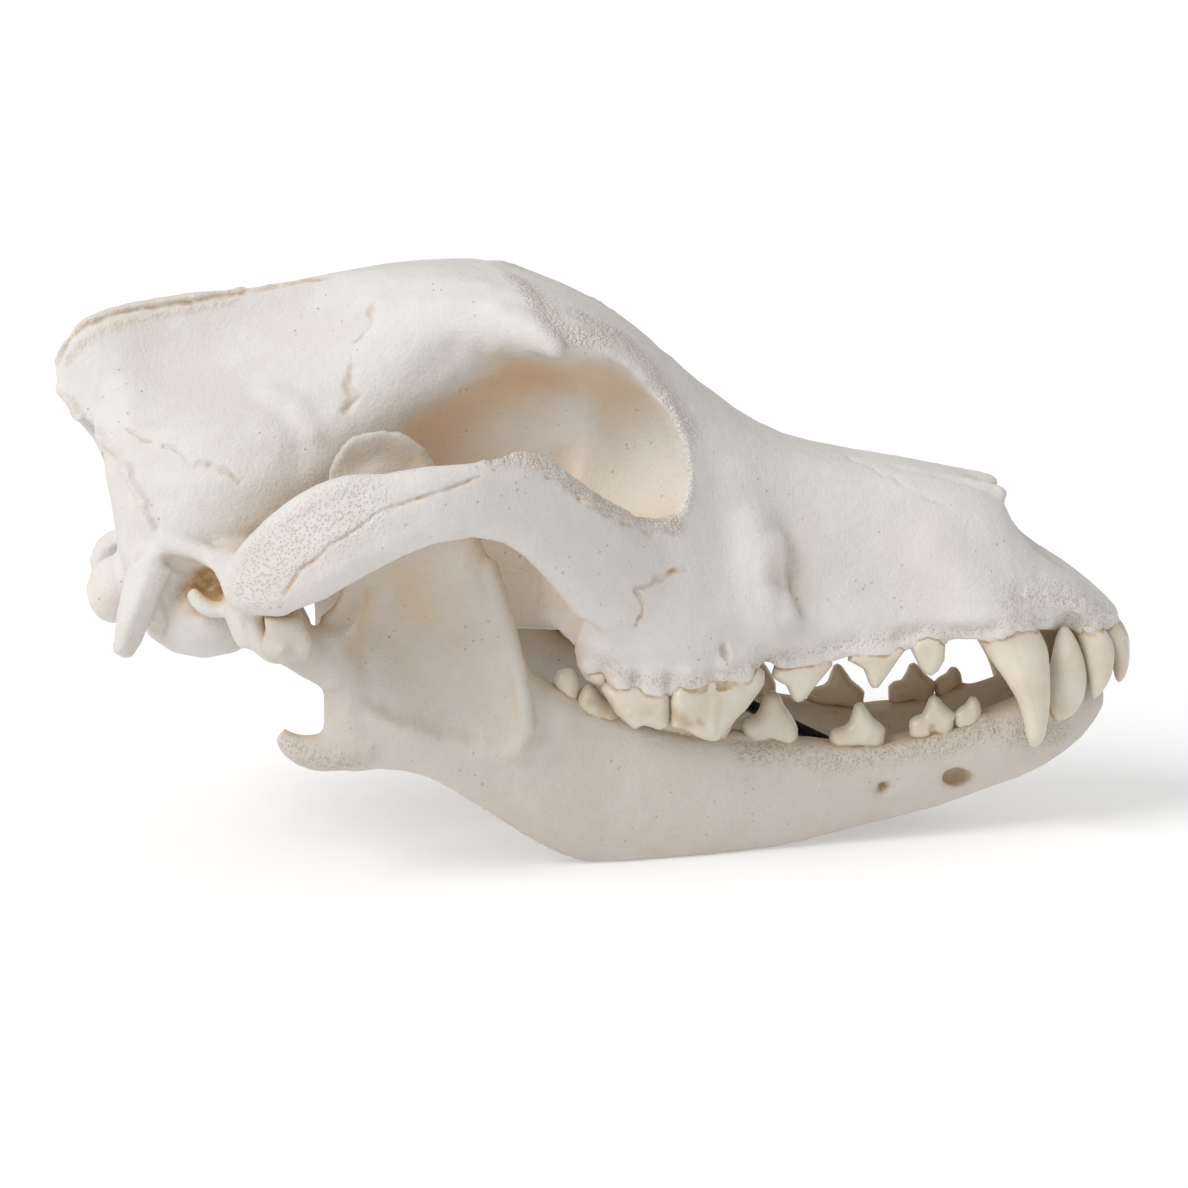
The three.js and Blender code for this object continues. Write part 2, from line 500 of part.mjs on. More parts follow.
function jawHalf() {
  const blank = loft(jawStations, jawLevels, jawSides, { rings: jawRingsPerBay });
  const body = without(blank, [jawNotch, ...chinHoles]);
  const whole = joined([body, jawKnob, jawNeck, jawHook, ...lowerPegs.map(peg), ...lowerCusps.map(cusp)]);
  const chinPlane = halfSpace([0, 1, 0], -seam / 2);
  const floor = halfSpace([0, 0, -1], 0);
  return mainBody(without(whole, [chinPlane, floor]));
}

// The dark coil spring that holds the jaw shut, on the right side only.
const springRadius = 1.45;
const springEnds = [[3, -11, 42.9], [50, -10.3, 19]];
const springStations = springEnds.map((at) => ({ at, wide: springRadius, tall: springRadius }));
const spring = bar(springStations, { sides: 8, steps: 6 });

const group = new THREE.Group();

function place(name, solid, look) {
  const mesh = new THREE.Mesh(geometryOf(solid), new THREE.MeshStandardMaterial(look));
  mesh.name = name;
  group.add(mesh);
}

const skull = cranium();
const rightJaw = jawHalf();
const behindFace = halfSpace(faceSuture.normal.map((n) => -n), -faceSuture.distance + seam / 2);
const beforeBrain = halfSpace(faceSuture.normal, faceSuture.distance + seam / 2);
const braincase = skull.intersect(behindFace);
const rightCheek = mainBody(cheekBone(0).add(eyeCorner));
place("skull_cap", mainBody(braincase.intersect(capSpace(0))), boneLook);
place("skull_base", mainBody(braincase.subtract(capSpace(seam))), boneLook);
place("muzzle", mainBody(skull.intersect(beforeBrain)), boneLook);
place("zygomatic_right", rightCheek, boneLook);
place("zygomatic_left", mirrored(rightCheek), boneLook);
place("mandible_right", rightJaw, boneLook);
place("mandible_left", mirrored(rightJaw), boneLook);
place("jaw_spring", spring, springLook);

// The origin sits under the middle of the skull's length.
const lengthBox = new THREE.Box3().setFromObject(group);
group.position.x = -(lengthBox.min.x + lengthBox.max.x) / 2;

export default group;
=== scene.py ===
import math

import bpy
import numpy as np
from mathutils import Matrix, Vector
from mathutils.bvhtree import BVHTree
from mathutils.kdtree import KDTree


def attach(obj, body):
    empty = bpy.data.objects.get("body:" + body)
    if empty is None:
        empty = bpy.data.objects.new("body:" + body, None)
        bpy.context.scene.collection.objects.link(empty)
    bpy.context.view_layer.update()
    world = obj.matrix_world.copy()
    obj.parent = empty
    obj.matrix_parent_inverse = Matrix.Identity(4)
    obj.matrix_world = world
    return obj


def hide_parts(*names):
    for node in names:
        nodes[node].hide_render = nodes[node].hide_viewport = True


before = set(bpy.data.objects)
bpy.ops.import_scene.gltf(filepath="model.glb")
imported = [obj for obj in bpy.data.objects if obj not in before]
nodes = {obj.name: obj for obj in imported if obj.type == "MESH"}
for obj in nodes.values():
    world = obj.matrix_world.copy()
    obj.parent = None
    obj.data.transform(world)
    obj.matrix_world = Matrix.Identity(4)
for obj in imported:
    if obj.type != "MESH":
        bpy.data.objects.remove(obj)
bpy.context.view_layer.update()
mm = 0.001
rng = np.random.default_rng(7)


def pick(*objects):
    bpy.ops.object.select_all(action='DESELECT')
    for obj in objects:
        obj.select_set(True)
    bpy.context.view_layer.objects.active = objects[0]


def finishModifiers(obj):
    pick(obj)
    for modifier in list(obj.modifiers):
        bpy.ops.object.modifier_apply(modifier=modifier.name)


def copyNode(nodeName, name):
    pick(nodes[nodeName])
    bpy.ops.object.duplicate()
    obj = bpy.context.active_object
    obj.parent = None
    for key in list(obj.keys()):
        del obj[key]
    obj.name = name
    obj.data.name = name
    obj.data.materials.clear()
    bpy.ops.object.mode_set(mode='EDIT')
    bpy.ops.mesh.select_all(action='SELECT')
    bpy.ops.mesh.remove_doubles(threshold=1e-6)
    bpy.ops.object.mode_set(mode='OBJECT')
    return obj


def newMesh(name, points, edges, faces):      # from points in millimetres
    mesh = bpy.data.meshes.new(name)
    mesh.from_pydata([(x * mm, y * mm, z * mm) for x, y, z in points], edges, faces)
    return mesh


def newPiece(name, points, edges, faces):
    obj = bpy.data.objects.new(name, newMesh(name, points, edges, faces))
    bpy.context.scene.collection.objects.link(obj)
    pick(obj)
    return obj


def faceOutward(obj, inThrees=False):
    pick(obj)
    bpy.ops.object.mode_set(mode='EDIT')
    bpy.ops.mesh.select_all(action='SELECT')
    if inThrees:
        bpy.ops.mesh.quads_convert_to_tris()
    bpy.ops.mesh.normals_make_consistent(inside=False)
    bpy.ops.object.mode_set(mode='OBJECT')


def coordsOf(obj):      # in millimetres
    flat = np.empty(len(obj.data.vertices) * 3, np.float32)
    obj.data.vertices.foreach_get("co", flat)
    return flat.reshape(-1, 3).astype(float) / mm


def normalsOf(obj):
    flat = np.empty(len(obj.data.vertices) * 3, np.float32)
    obj.data.vertex_normals.foreach_get("vector", flat)
    return flat.reshape(-1, 3).astype(float)


def setCoords(obj, coords):
    obj.data.vertices.foreach_set("co", (coords * mm).astype(np.float32).ravel())
    obj.data.update()


def treeOf(obj):
    coords = coordsOf(obj)
    faces = [tuple(p.vertices) for p in obj.data.polygons]
    return BVHTree.FromPolygons([Vector(c) for c in coords], faces)


def cutAway(obj, other):
    pick(obj)
    cut = obj.modifiers.new("cut", 'BOOLEAN')
    cut.operation = 'DIFFERENCE'
    cut.solver = 'MANIFOLD'
    cut.object = other
    bpy.ops.object.modifier_apply(modifier="cut")
    bpy.data.objects.remove(other)


def slab(name, outline, near, far):      # a side-view outline in x and z, pulled out from near to far along y
    obj = newPiece(name, [(x, near, z) for x, z in outline], [], [list(range(len(outline)))])
    bpy.ops.object.mode_set(mode='EDIT')
    bpy.ops.mesh.select_all(action='SELECT')
    bpy.ops.mesh.extrude_region_move(TRANSFORM_OT_translate={"value": (0, (far - near) * mm, 0)})
    bpy.ops.object.mode_set(mode='OBJECT')
    faceOutward(obj, inThrees=True)
    return obj


def remesh(obj, voxel):
    pick(obj)
    obj.data.remesh_voxel_size = voxel * mm
    obj.data.remesh_voxel_adaptivity = 0
    obj.data.use_remesh_fix_poles = True
    bpy.ops.object.voxel_remesh()


def soften(obj, factor, times):
    pick(obj)
    smooth = obj.modifiers.new("soften", 'SMOOTH')
    smooth.factor = factor
    smooth.iterations = times
    bpy.ops.object.modifier_apply(modifier="soften")


# Where the camera stands; a pixel of the 1188 x 1188 photo can be traced along its ray onto a bone.
# A ray counts as slipped when it runs this much further than its neighbours.
viewSettings = {"target": (-1.164, 0, 50.3), "distance": 1000, "azimuth": -4.5, "elevation": 12.5,
                "focal": 4790, "frame": 1188, "sensor": 36, "step": 8, "neighbours": 3, "slip": 8}


def viewAxes():
    turn, rise = math.radians(viewSettings["azimuth"]), math.radians(viewSettings["elevation"])
    ahead = Vector((-math.sin(turn) * math.cos(rise), math.cos(turn) * math.cos(rise), -math.sin(rise)))
    right = Vector((math.cos(turn), math.sin(turn), 0))
    return right, ahead, right.cross(ahead)


def fillLine(pixels, step):      # points between the given ones, no further apart than the step
    filled = [pixels[0]]
    for (x, y), (nextX, nextY) in zip(pixels, pixels[1:]):
        parts = max(1, math.ceil(math.hypot(nextX - x, nextY - y) / step))
        filled += [(x + (nextX - x) * i / parts, y + (nextY - y) * i / parts) for i in range(1, parts + 1)]
    return filled


def traceLine(tree, pixels):      # where the pixels' rays first meet the bone, and how it faces there
    right, ahead, up = viewAxes()
    eye = Vector(viewSettings["target"]) - ahead * viewSettings["distance"]
    middle = viewSettings["frame"] / 2
    hits = []
    for px, py in fillLine(pixels, viewSettings["step"]):
        across = (px - middle) / viewSettings["focal"]
        down = (py - middle) / viewSettings["focal"]
        spot, normal, face, gap = tree.ray_cast(eye, (ahead + right * across - up * down).normalized())
        if spot is not None:
            hits.append((np.array(spot), np.array(normal), gap))
    points, facing = [], np.zeros(3)
    around = viewSettings["neighbours"]
    for i, (spot, normal, gap) in enumerate(hits):      # a ray that slips past an edge is dropped
        shortest = min(length for hit, way, length in hits[max(0, i - around):i + around + 1])
        if gap < shortest + viewSettings["slip"]:
            points.append(spot)
            facing += normal
    return np.array(points), facing / max(np.linalg.norm(facing), 1e-9)


# How marks lie on the bone, and its own unevenness as waves of (size, height, seed)
surfaceSettings = {
    "wander": 2.4, "wanderSeeds": (11, 12, 13), "turnAway": 2.5, "margin": 0.6, "cuts": 2, "cutRound": 0.4,
    "calmFactor": 0.5, "calmLeast": 0.02, "settle": (0.5, 2),
    "swells": ((14, 0.16, 1), (6, 0.1, 2)), "ripples": ((2.6, 0.05, 3),),
    "grains": ((1.5, 1, 5), (0.8, 0.8, 6)),
}
hashing = {"primes": (73856093, 19349663, 83492791), "seed": 26544357, "mix": 1274126177}


def smoothStep(share):
    return share * share * (3 - 2 * share)


def lumps(points, size, seed):      # a smooth random field between -1 and 1
    cell = np.floor(points / size).astype(np.int64)
    part = smoothStep(points / size - cell)
    total = np.zeros(len(points))
    for corner in np.ndindex(2, 2, 2):
        key = (cell + corner) @ np.array(hashing["primes"]) + seed * hashing["seed"]
        key = ((key ^ (key >> 13)) * hashing["mix"]) & 0xffffffff
        value = ((key ^ (key >> 16)) & 0xffff) / 32767.5 - 1
        total += value * np.prod(np.where(np.array(corner) == 1, part, 1 - part), axis=1)
    return total


def waves(points, name):
    return sum(height * lumps(points, size, seed) for size, height, seed in surfaceSettings[name])


def lineGap(points, line, reach):      # distance to a line of points, where it is under the reach
    gap = np.full(len(points), 1e6)
    near = np.flatnonzero(np.all((points > line.min(0) - reach) & (points < line.max(0) + reach), axis=1))
    close = points[near]
    best = np.full(len(near), 1e6)
    ends = line[1:] if len(line) > 1 else line
    for a, b in zip(line, ends):
        along = np.clip((close - a) @ (b - a) / max((b - a) @ (b - a), 1e-9), 0, 1)
        best = np.minimum(best, np.linalg.norm(close - a - along[:, None] * (b - a), axis=1))
    gap[near] = best
    return gap


def rightHand(coords, normals):      # both sides of the skull follow what is traced on its right side
    side = np.where(coords[:, 1] > 0, -1, 1)[:, None] * [[0, 1, 0]] + [[1, 0, 1]]
    return coords * side, normals * side


def markWeight(points, normals, mark, traced):      # a deep mark also takes what faces away from the camera
    line, facing = traced
    wave = mark.get("wave", 0)
    if wave:
        fields = [lumps(points, surfaceSettings["wander"], seed) for seed in surfaceSettings["wanderSeeds"]]
        points = points + wave * np.column_stack(fields)
    fall = smoothStep(np.clip(1 - lineGap(points, line, mark["reach"]) / mark["reach"], 0, 1))
    return fall if "deep" in mark else fall * np.clip(normals @ facing * surfaceSettings["turnAway"], 0, 1)


def refine(obj, marks, lines):      # finer faces where small marks will be cut
    for turn in range(surfaceSettings["cuts"]):
        places, normals = rightHand(coordsOf(obj), normalsOf(obj))
        wanted = np.zeros(len(places), bool)
        for name, mark in marks.items():
            if mark.get("cuts", 0) > turn:
                line, facing = lines[name]
                reach = mark["reach"] + surfaceSettings["margin"]
                wanted |= (lineGap(places, line, reach) < reach) & (normals @ facing > 0)
        if not wanted.any():
            continue
        mesh = obj.data
        corners = np.empty(len(mesh.loops), np.int32)
        mesh.loops.foreach_get("vertex_index", corners)
        starts = np.empty(len(mesh.polygons), np.int32)
        mesh.polygons.foreach_get("loop_start", starts)
        chosen = np.logical_or.reduceat(wanted[corners], starts)
        pick(obj)
        bpy.context.tool_settings.mesh_select_mode = (False, False, True)
        mesh.vertices.foreach_set("select", np.zeros(len(mesh.vertices), bool))
        mesh.edges.foreach_set("select", np.zeros(len(mesh.edges), bool))
        mesh.polygons.foreach_set("select", chosen)
        bpy.ops.object.mode_set(mode='EDIT')
        bpy.ops.mesh.subdivide(number_cuts=1, smoothness=surfaceSettings["cutRound"])
        bpy.ops.object.mode_set(mode='OBJECT')


def calm(obj, mark, traced):      # smooths one stretch of bone
    weight = markWeight(*rightHand(coordsOf(obj), normalsOf(obj)), mark, traced)
    group = obj.vertex_groups.new(name="calm")
    for i in np.flatnonzero(weight > surfaceSettings["calmLeast"]):
        group.add([int(i)], float(weight[i]), 'REPLACE')
    pick(obj)
    smooth = obj.modifiers.new("calm", 'SMOOTH')
    smooth.vertex_group = "calm"
    smooth.factor = surfaceSettings["calmFactor"]
    smooth.iterations = mark["calm"]
    bpy.ops.object.modifier_apply(modifier="calm")
    obj.vertex_groups.clear()


def carve(obj, marks, lines, uneven=True):      # ridges, hollows, sutures and rough bands
    for name, mark in marks.items():
        if "calm" in mark:
            calm(obj, mark, lines[name])
    for name, mark in marks.items():
        if "raise" in mark and not mark.get("cuts"):
            coords, normals = coordsOf(obj), normalsOf(obj)
            weight = markWeight(*rightHand(coords, normals), mark, lines[name])
            setCoords(obj, coords + normals * (weight * mark["raise"])[:, None])
    if uneven:
        soften(obj, *surfaceSettings["settle"])
    refine(obj, marks, lines)
    coords, normals = coordsOf(obj), normalsOf(obj)
    places, facing = rightHand(coords, normals)
    lift = waves(places, "swells") + waves(coords, "ripples") if uneven else np.zeros(len(coords))
    rough = waves(coords, "grains")
    for name, mark in marks.items():
        if "cuts" in mark:
            weight = markWeight(places, facing, mark, lines[name])
            lift += weight * (mark.get("raise", 0) + mark.get("grain", 0) * rough)
    setCoords(obj, coords + normals * lift[:, None])


def thin(obj, most):      # fewer faces where the bone is smooth
    total = sum(len(p.vertices) - 2 for p in obj.data.polygons)
    if total > most:
        pick(obj)
        fewer = obj.modifiers.new("fewer", 'DECIMATE')
        fewer.ratio = most / total
        bpy.ops.object.modifier_apply(modifier="fewer")


def tint(obj, marks, lines):
    places, facing = rightHand(coordsOf(obj), normalsOf(obj))
    tints = {name: np.zeros(len(places)) for name in ("ochre", "porous", "pitted", "shade")}
    for name, mark in marks.items():
        weight = markWeight(places, facing, mark, lines[name])
        for kind in tints:
            tints[kind] = np.maximum(tints[kind], weight * mark.get(kind, 0))
    for kind, values in tints.items():
        paint(obj, kind, values)


def paint(obj, name, values):
    if name not in obj.data.attributes:
        obj.data.attributes.new(name, 'FLOAT', 'POINT')
    obj.data.attributes[name].data.foreach_set("value", values.astype(np.float32))


# Bones: each starts from its solid, with the plain crowns cut off for the fine teeth
boneSettings = {
    "voxel": 0.95,
    "soften": (0.5, 7),
    "triangles": 190000,
    "suture": {"reach": 0.45, "overlap": 2.2},
    "cutWidth": (-70, 70),
    # the lowest bone edge above the upper teeth and the highest below the lower ones, in x and z
    "upperCrowns": [(-16, 45.8), (-8, 42.6), (-4, 40.2), (5, 37.8), (13, 36.5), (20, 36.8), (26, 38),
        (34, 38.6), (45, 39.2), (52, 40), (57, 39.6), (63, 41), (68, 42.4), (76, 42), (79, 43.2), (84, 46),
        (88, 45.4), (91, 42.6), (98, 42.4), (107, 42.2), (116, 41.8), (116, 10), (-16, 10)],
    "lowerCrowns": [(-13, 40), (-6.4, 36), (0, 32.4), (10, 29.2), (19, 27), (27, 25.8), (40, 23.4),
        (48, 21.8), (57, 21), (63, 22), (74, 23.6), (79, 26.8), (90, 30), (98, 31.8), (106, 32.2), (112, 31),
        (112, 60), (-13, 60)],
}

# Forms added before a bone's surface is made: rods as (x, y, z, radius) on the right side
craniumForms = {
    "eyeCorner": [(-24, -17, 112.4, 4.6), (-16, -25, 110, 4), (-11.5, -29.5, 107.6, 2.8),
        (-10, -31, 105.4, 1.5)],
    "crestEdge": [(-111.2, 0, 97.4, 1.3), (-110.8, 0, 101, 1.4), (-109.4, 0, 103.6, 1.4),
        (-105.8, 0, 108, 1.5), (-102, 0, 110.4, 1.5), (-98, 0, 111.4, 1.5), (-92, 0, 112.6, 1.4),
        (-80, 0, 114.2, 1.3)],
    "archEdge": [(-75, -47, 66.4, 3), (-72, -49.5, 71.4, 3.2), (-66.8, -53, 77, 3.2), (-60, -56, 82.6, 3),
        (-54, -57.4, 85.2, 2.8), (-46, -57.6, 86, 2.2)],
    "gumEdge": [(33, -28.4, 41.6, 1.6), (39, -25.4, 41, 1.6), (46, -23.6, 42, 1.6), (50, -22.4, 42.8, 1.6),
        (56, -21.6, 42.3, 1.6), (62.4, -20.8, 43.6, 1.5), (68.8, -20, 45.6, 1.5), (73.8, -20, 45, 1.5),
        (78.5, -20.4, 45.4, 1.5)],
    "earLip": [(-85, -31, 60, 1.6), (-83.6, -32.6, 57.2, 2), (-80.4, -33.4, 55.4, 2.1),
        (-76.6, -33.4, 56, 1.8)],
    "earShelf": [(-92, -27, 70, 3), (-87.6, -30, 69, 2.8), (-83, -32.4, 67.6, 2.2), (-79, -35, 67, 2)],
    "napeBlade": [(-91, -27.6, 68, 2.8), (-93.6, -29.4, 61, 2.4), (-96.6, -30.6, 54, 2.2),
        (-98.8, -30.8, 48, 1.7), (-98.6, -30.4, 45.4, 1.1)],
    "jointStop": [(-73.4, -43, 59, 3.4), (-72.4, -44, 53.6, 2.8), (-70, -44.6, 49.6, 2.2),
        (-66.4, -44.6, 47.4, 1.3)],
    "noseWall": [(48, 0, 66, 1.2), (78, 0, 66, 1.2)],
    "noseScroll": [(50, -4, 65.4, 2), (80, -3.8, 64, 1.7)],
    "noseScrollLow": [(50, -4.2, 59.4, 2.1), (78, -4, 58.6, 1.8)],
    "noseTip": [(69, -6, 75.2, 1.5), (75, -6, 73.6, 1.9), (80, -6, 72, 2.4), (84.4, -6, 70.6, 2.2)],
    "lipBridge": [(87, -12.6, 47.4, 3), (94, -11.6, 45.8, 3), (99, -10, 45.6, 2.6)],
}
jawForms = {
    "neck": [(-63, -45.4, 51, 3.6), (-59.6, -43.6, 47, 3.2), (-56.4, -42.6, 42, 2.6)],
    "notch": [(-61, -43, 51, 2.4), (-55.4, -42.2, 51.6, 2.4), (-51, -41.6, 55, 2.4), (-49.4, -41.4, 61, 2)],
}
# the jaw's joint as a block, in x and z
jointBlock = {"outline": [(-70.4, 58), (-63.4, 58), (-60.6, 52.6), (-61.6, 49), (-66.4, 48.6), (-69.6, 52.6)],
              "near": -51, "far": -30}
# a groove between the blade behind the ear and the drum, in x and z
bladeTrim = {"outline": [(-88.6, 63), (-91.4, 57), (-94.4, 50), (-95.6, 43.5), (-91, 43), (-87.6, 52),
                         (-86.4, 60)], "near": -40, "far": -28}
# the eye socket's inner wall runs on into the temple's: an oval of these half sizes clears the step
socketDepth = {"middle": (-2, -36, 84), "size": (20, 20, 16), "lean": 0}
jawHoles = {"chinHole": {"pixel": (955, 776), "size": (4.3, 3, 2), "lean": -16},
            "smallHole": {"pixel": (883, 787), "size": (1.5, 2.4, 1.3), "lean": 0}}
# the eye socket's rim as a side outline, and how far it draws in with depth
socketSettings = {
    "outline": [(-13.4, 100), (-10.2, 104), (-6.4, 106), (-0.3, 106.3), (5.7, 103), (11.3, 95.8), (13.9, 90),
        (15.4, 84), (15.9, 79.5), (15.5, 76), (13.3, 73.4), (9.7, 73.4), (4.7, 74.8), (-1.7, 78.3),
        (-9.7, 84.2), (-14.8, 88.6)],
    "middle": (-2, 90),
    "depths": [(-60, 1), (-31, 1), (-27.5, 0.95), (-23.5, 0.84), (-20, 0.66), (-17.5, 0.36)],
}

# Marks traced on the photo's pixels: reach, raise, grain and wave in millimetres, calm in smoothing steps,
# cuts as rounds of finer faces, deep where facing away counts too, and the tints as shares; shade paints
# shade as tan
craniumMarks = {
    "wallCalm": {"line": [(540, 400), (580, 420), (590, 460), (620, 470)], "reach": 12, "calm": 30},
    "brainCalm": {"line": [(130, 400), (220, 380), (300, 360)], "reach": 30, "calm": 25},
    "browCalm": {"line": [(472, 264), (500, 267), (528, 281), (560, 304)], "reach": 8, "calm": 60},
    "crestLip": {"line": [(55, 362), (65, 338), (84, 321), (106, 313), (133, 306), (184, 299), (235, 290),
        (286, 280)], "reach": 1.2, "raise": 0.35, "grain": 0.12, "ochre": 0.3, "porous": 0.3, "cuts": 1},
    "crestGroove": {"line": [(57, 366), (68, 340), (86, 325), (107, 317), (133, 310), (184, 303), (235, 294),
        (286, 284), (330, 276)], "reach": 0.9, "raise": -0.5, "wave": 0.4, "ochre": 0.9, "cuts": 2},
    "crestStep": {"line": [(66, 362), (80, 345), (108, 327), (150, 317), (235, 301)], "reach": 1.6,
        "raise": 0.2, "grain": 0.14, "porous": 0.3, "ochre": 0.25, "cuts": 1},
    "napeEdge": {"line": [(54, 385), (75, 410), (104, 438), (116, 456), (130, 482), (142, 508), (152, 530)],
        "reach": 1.8, "raise": 1, "grain": 0.2, "ochre": 0.15, "porous": 0.2, "wave": 0.6, "cuts": 1},
    # painted shade: tan in the hollow below the nape's edge
    "napeHollow": {"line": [(104, 460), (114, 487), (124, 512), (132, 535)], "reach": 5, "raise": -1.6,
        "shade": 0.8},
    "templeLine": {"line": [(540, 330), (526, 300), (512, 280), (494, 266), (470, 260)], "reach": 4,
        "raise": 0.5},
    "eyeCornerRough": {"line": [(516, 276), (534, 296), (552, 322), (566, 340), (590, 338), (618, 334)],
        "reach": 6.5, "grain": 0.1, "raise": 0.2, "ochre": 0.08, "porous": 0.8, "cuts": 1},
    "browRough": {"line": [(586, 318), (622, 336), (652, 366), (672, 400), (690, 428)], "reach": 7,
        "grain": 0.1, "ochre": 0.08, "porous": 0.8, "cuts": 1},
    "eyeRimFront": {"line": [(668, 396), (680, 425), (689, 458), (692, 488), (687, 512)], "reach": 2,
        "grain": 0.1, "raise": 0.3, "porous": 0.6, "cuts": 1},
    "templeHollow": {"line": [(455, 425), (500, 400), (535, 385)], "reach": 15, "raise": -1.2},
    # painted shade with some stain: tan over the temple hollow and the back of the eye socket
    "templeStainAndShade": {"line": [(430, 440), (480, 405), (530, 385), (590, 378), (622, 392)], "reach": 13,
        "shade": 0.62},
    # painted shade: darkens the occipital condyle towards tan
    "condylePaintedShade": {"line": [(92, 580), (100, 600)], "reach": 10, "shade": 0.9},
    "templeTop": {"line": [(420, 330), (460, 320), (500, 330)], "reach": 11, "raise": 0.8},
    "templeDent": {"line": [(425, 372), (452, 352)], "reach": 5, "raise": -0.6},
    # painted shade: a little tan in the fold
    "templeFold": {"line": [(255, 398), (280, 410), (300, 440), (295, 470)], "reach": 4, "raise": -0.5,
        "shade": 0.25},
    "templeFoldEdge": {"line": [(268, 392), (295, 402), (315, 432)], "reach": 3.5, "raise": 0.5},
    "crownSuture": {"line": [(379, 298), (366, 325), (356, 345), (352, 362), (349, 385), (357, 397),
        (345, 411)], "reach": 1, "raise": -0.35, "wave": 1.2, "ochre": 0.45, "cuts": 2},
    "crownHook": {"line": [(352, 368), (347, 386), (354, 398), (346, 410)], "reach": 1.6, "raise": -0.45,
        "ochre": 0.4, "cuts": 1},
    "sideSuture": {"line": [(128, 430), (160, 446), (178, 452), (200, 462), (222, 470), (240, 478)],
        "reach": 1, "raise": -0.4, "wave": 1.2, "ochre": 0.5, "cuts": 2},
    "nasalSuture": {"line": [(843, 454), (872, 468), (905, 486), (943, 505)], "reach": 0.7, "raise": -0.3,
        "wave": 0.9, "ochre": 0.2, "cuts": 1},
    "nasalEdge": {"line": [(893, 466), (930, 474), (965, 482), (994, 492)], "reach": 1.4, "raise": -0.5},
    "cheekBulge": {"line": [(757, 530), (762, 575), (774, 625)], "reach": 8, "raise": 2},
    "cheekEdge": {"line": [(775, 545), (773, 570), (777, 595), (786, 616)], "reach": 4.2, "raise": 2.1},
    "cheekFill": {"line": [(764, 545), (762, 575), (768, 605)], "reach": 4, "raise": 1.3},
    "cheekCrease": {"line": [(791, 546), (790, 566), (792, 588), (798, 608)], "reach": 2, "raise": -1},
    # the slit's ochre is painted shadow along the crease
    "cheekSlit": {"line": [(788, 548), (786, 564), (787, 582), (791, 598), (797, 612)], "reach": 1.1,
        "raise": -0.9, "ochre": 0.3, "cuts": 1},
    "tearHollow": {"line": [(716, 470), (722, 520), (724, 570)], "reach": 8, "raise": -0.8},
    "fangRoot": {"line": [(1010, 640), (975, 590), (935, 545)], "reach": 8, "raise": 1.2},
    "fangHollow": {"line": [(930, 610), (890, 590), (860, 560)], "reach": 9, "raise": -0.8},
    "lipBone": {"line": [(1015, 600), (1050, 595), (1085, 600), (1105, 615)], "reach": 7, "grain": 0.2,
        "cuts": 1, "porous": 0.12, "pitted": 1, "ochre": 0.08},
    "upperSockets": {"line": [(1090, 622), (1050, 620), (1000, 624), (965, 634), (930, 632), (900, 637),
        (850, 644), (800, 655), (760, 664), (725, 676), (690, 684), (640, 680), (600, 662)], "reach": 3,
        "grain": 0.14, "raise": -0.5, "porous": 0.1, "pitted": 0.9, "ochre": 0.1, "cuts": 1},
    "rootHole": {"line": [(724, 647), (727, 655)], "reach": 1.5, "raise": -1.2, "ochre": 0.9, "cuts": 2},
    # rough, pitted bone at the arch's rear, with painted shade as a tan tint
    "archRoughAndShade": {"line": [(250, 588), (272, 560), (310, 530), (360, 504)], "reach": 12, "grain": 0.05,
        "porous": 0.05, "pitted": 1, "ochre": 0.04, "shade": 0.65, "cuts": 1},
    # painted shade: tan deep in the ear opening, with ochre over it
    "earHollow": {"line": [(205, 592), (214, 590)], "reach": 7, "ochre": 2.4, "shade": 1.6, "deep": 1},
    "drumSuture": {"line": [(163, 600), (166, 625), (160, 645)], "reach": 0.8, "raise": -0.3, "ochre": 0.4,
        "cuts": 1},
}

cheekMarks = {
    "topRough": {"line": [(488, 463), (512, 455), (545, 466), (572, 485), (610, 509), (645, 522), (676, 525)],
        "reach": 3.4, "grain": 0.3, "raise": 0.8, "ochre": 0.22, "porous": 1, "cuts": 1},
    "topLine": {"line": [(548, 476), (575, 496), (610, 518), (645, 530), (674, 532)], "reach": 1.1,
        "raise": -0.4, "wave": 1, "ochre": 0.5, "cuts": 1},
    "templeSuture": {"line": [(285, 595), (300, 570), (340, 540), (380, 512), (430, 495), (480, 478)],
        "reach": 0.7, "raise": -0.45, "wave": 0.4, "ochre": 0.8, "cuts": 2},
    "faceSuture": {"line": [(641, 622), (643, 606), (637, 590)], "reach": 1.1, "raise": -0.6, "wave": 1.2,
        "ochre": 0.9, "cuts": 2},
    "faceSutureTop": {"line": [(637, 590), (652, 580), (674, 572), (686, 568)], "reach": 1.1, "raise": -0.6,
        "wave": 0.8, "ochre": 0.9, "cuts": 2, "deep": 1},
}

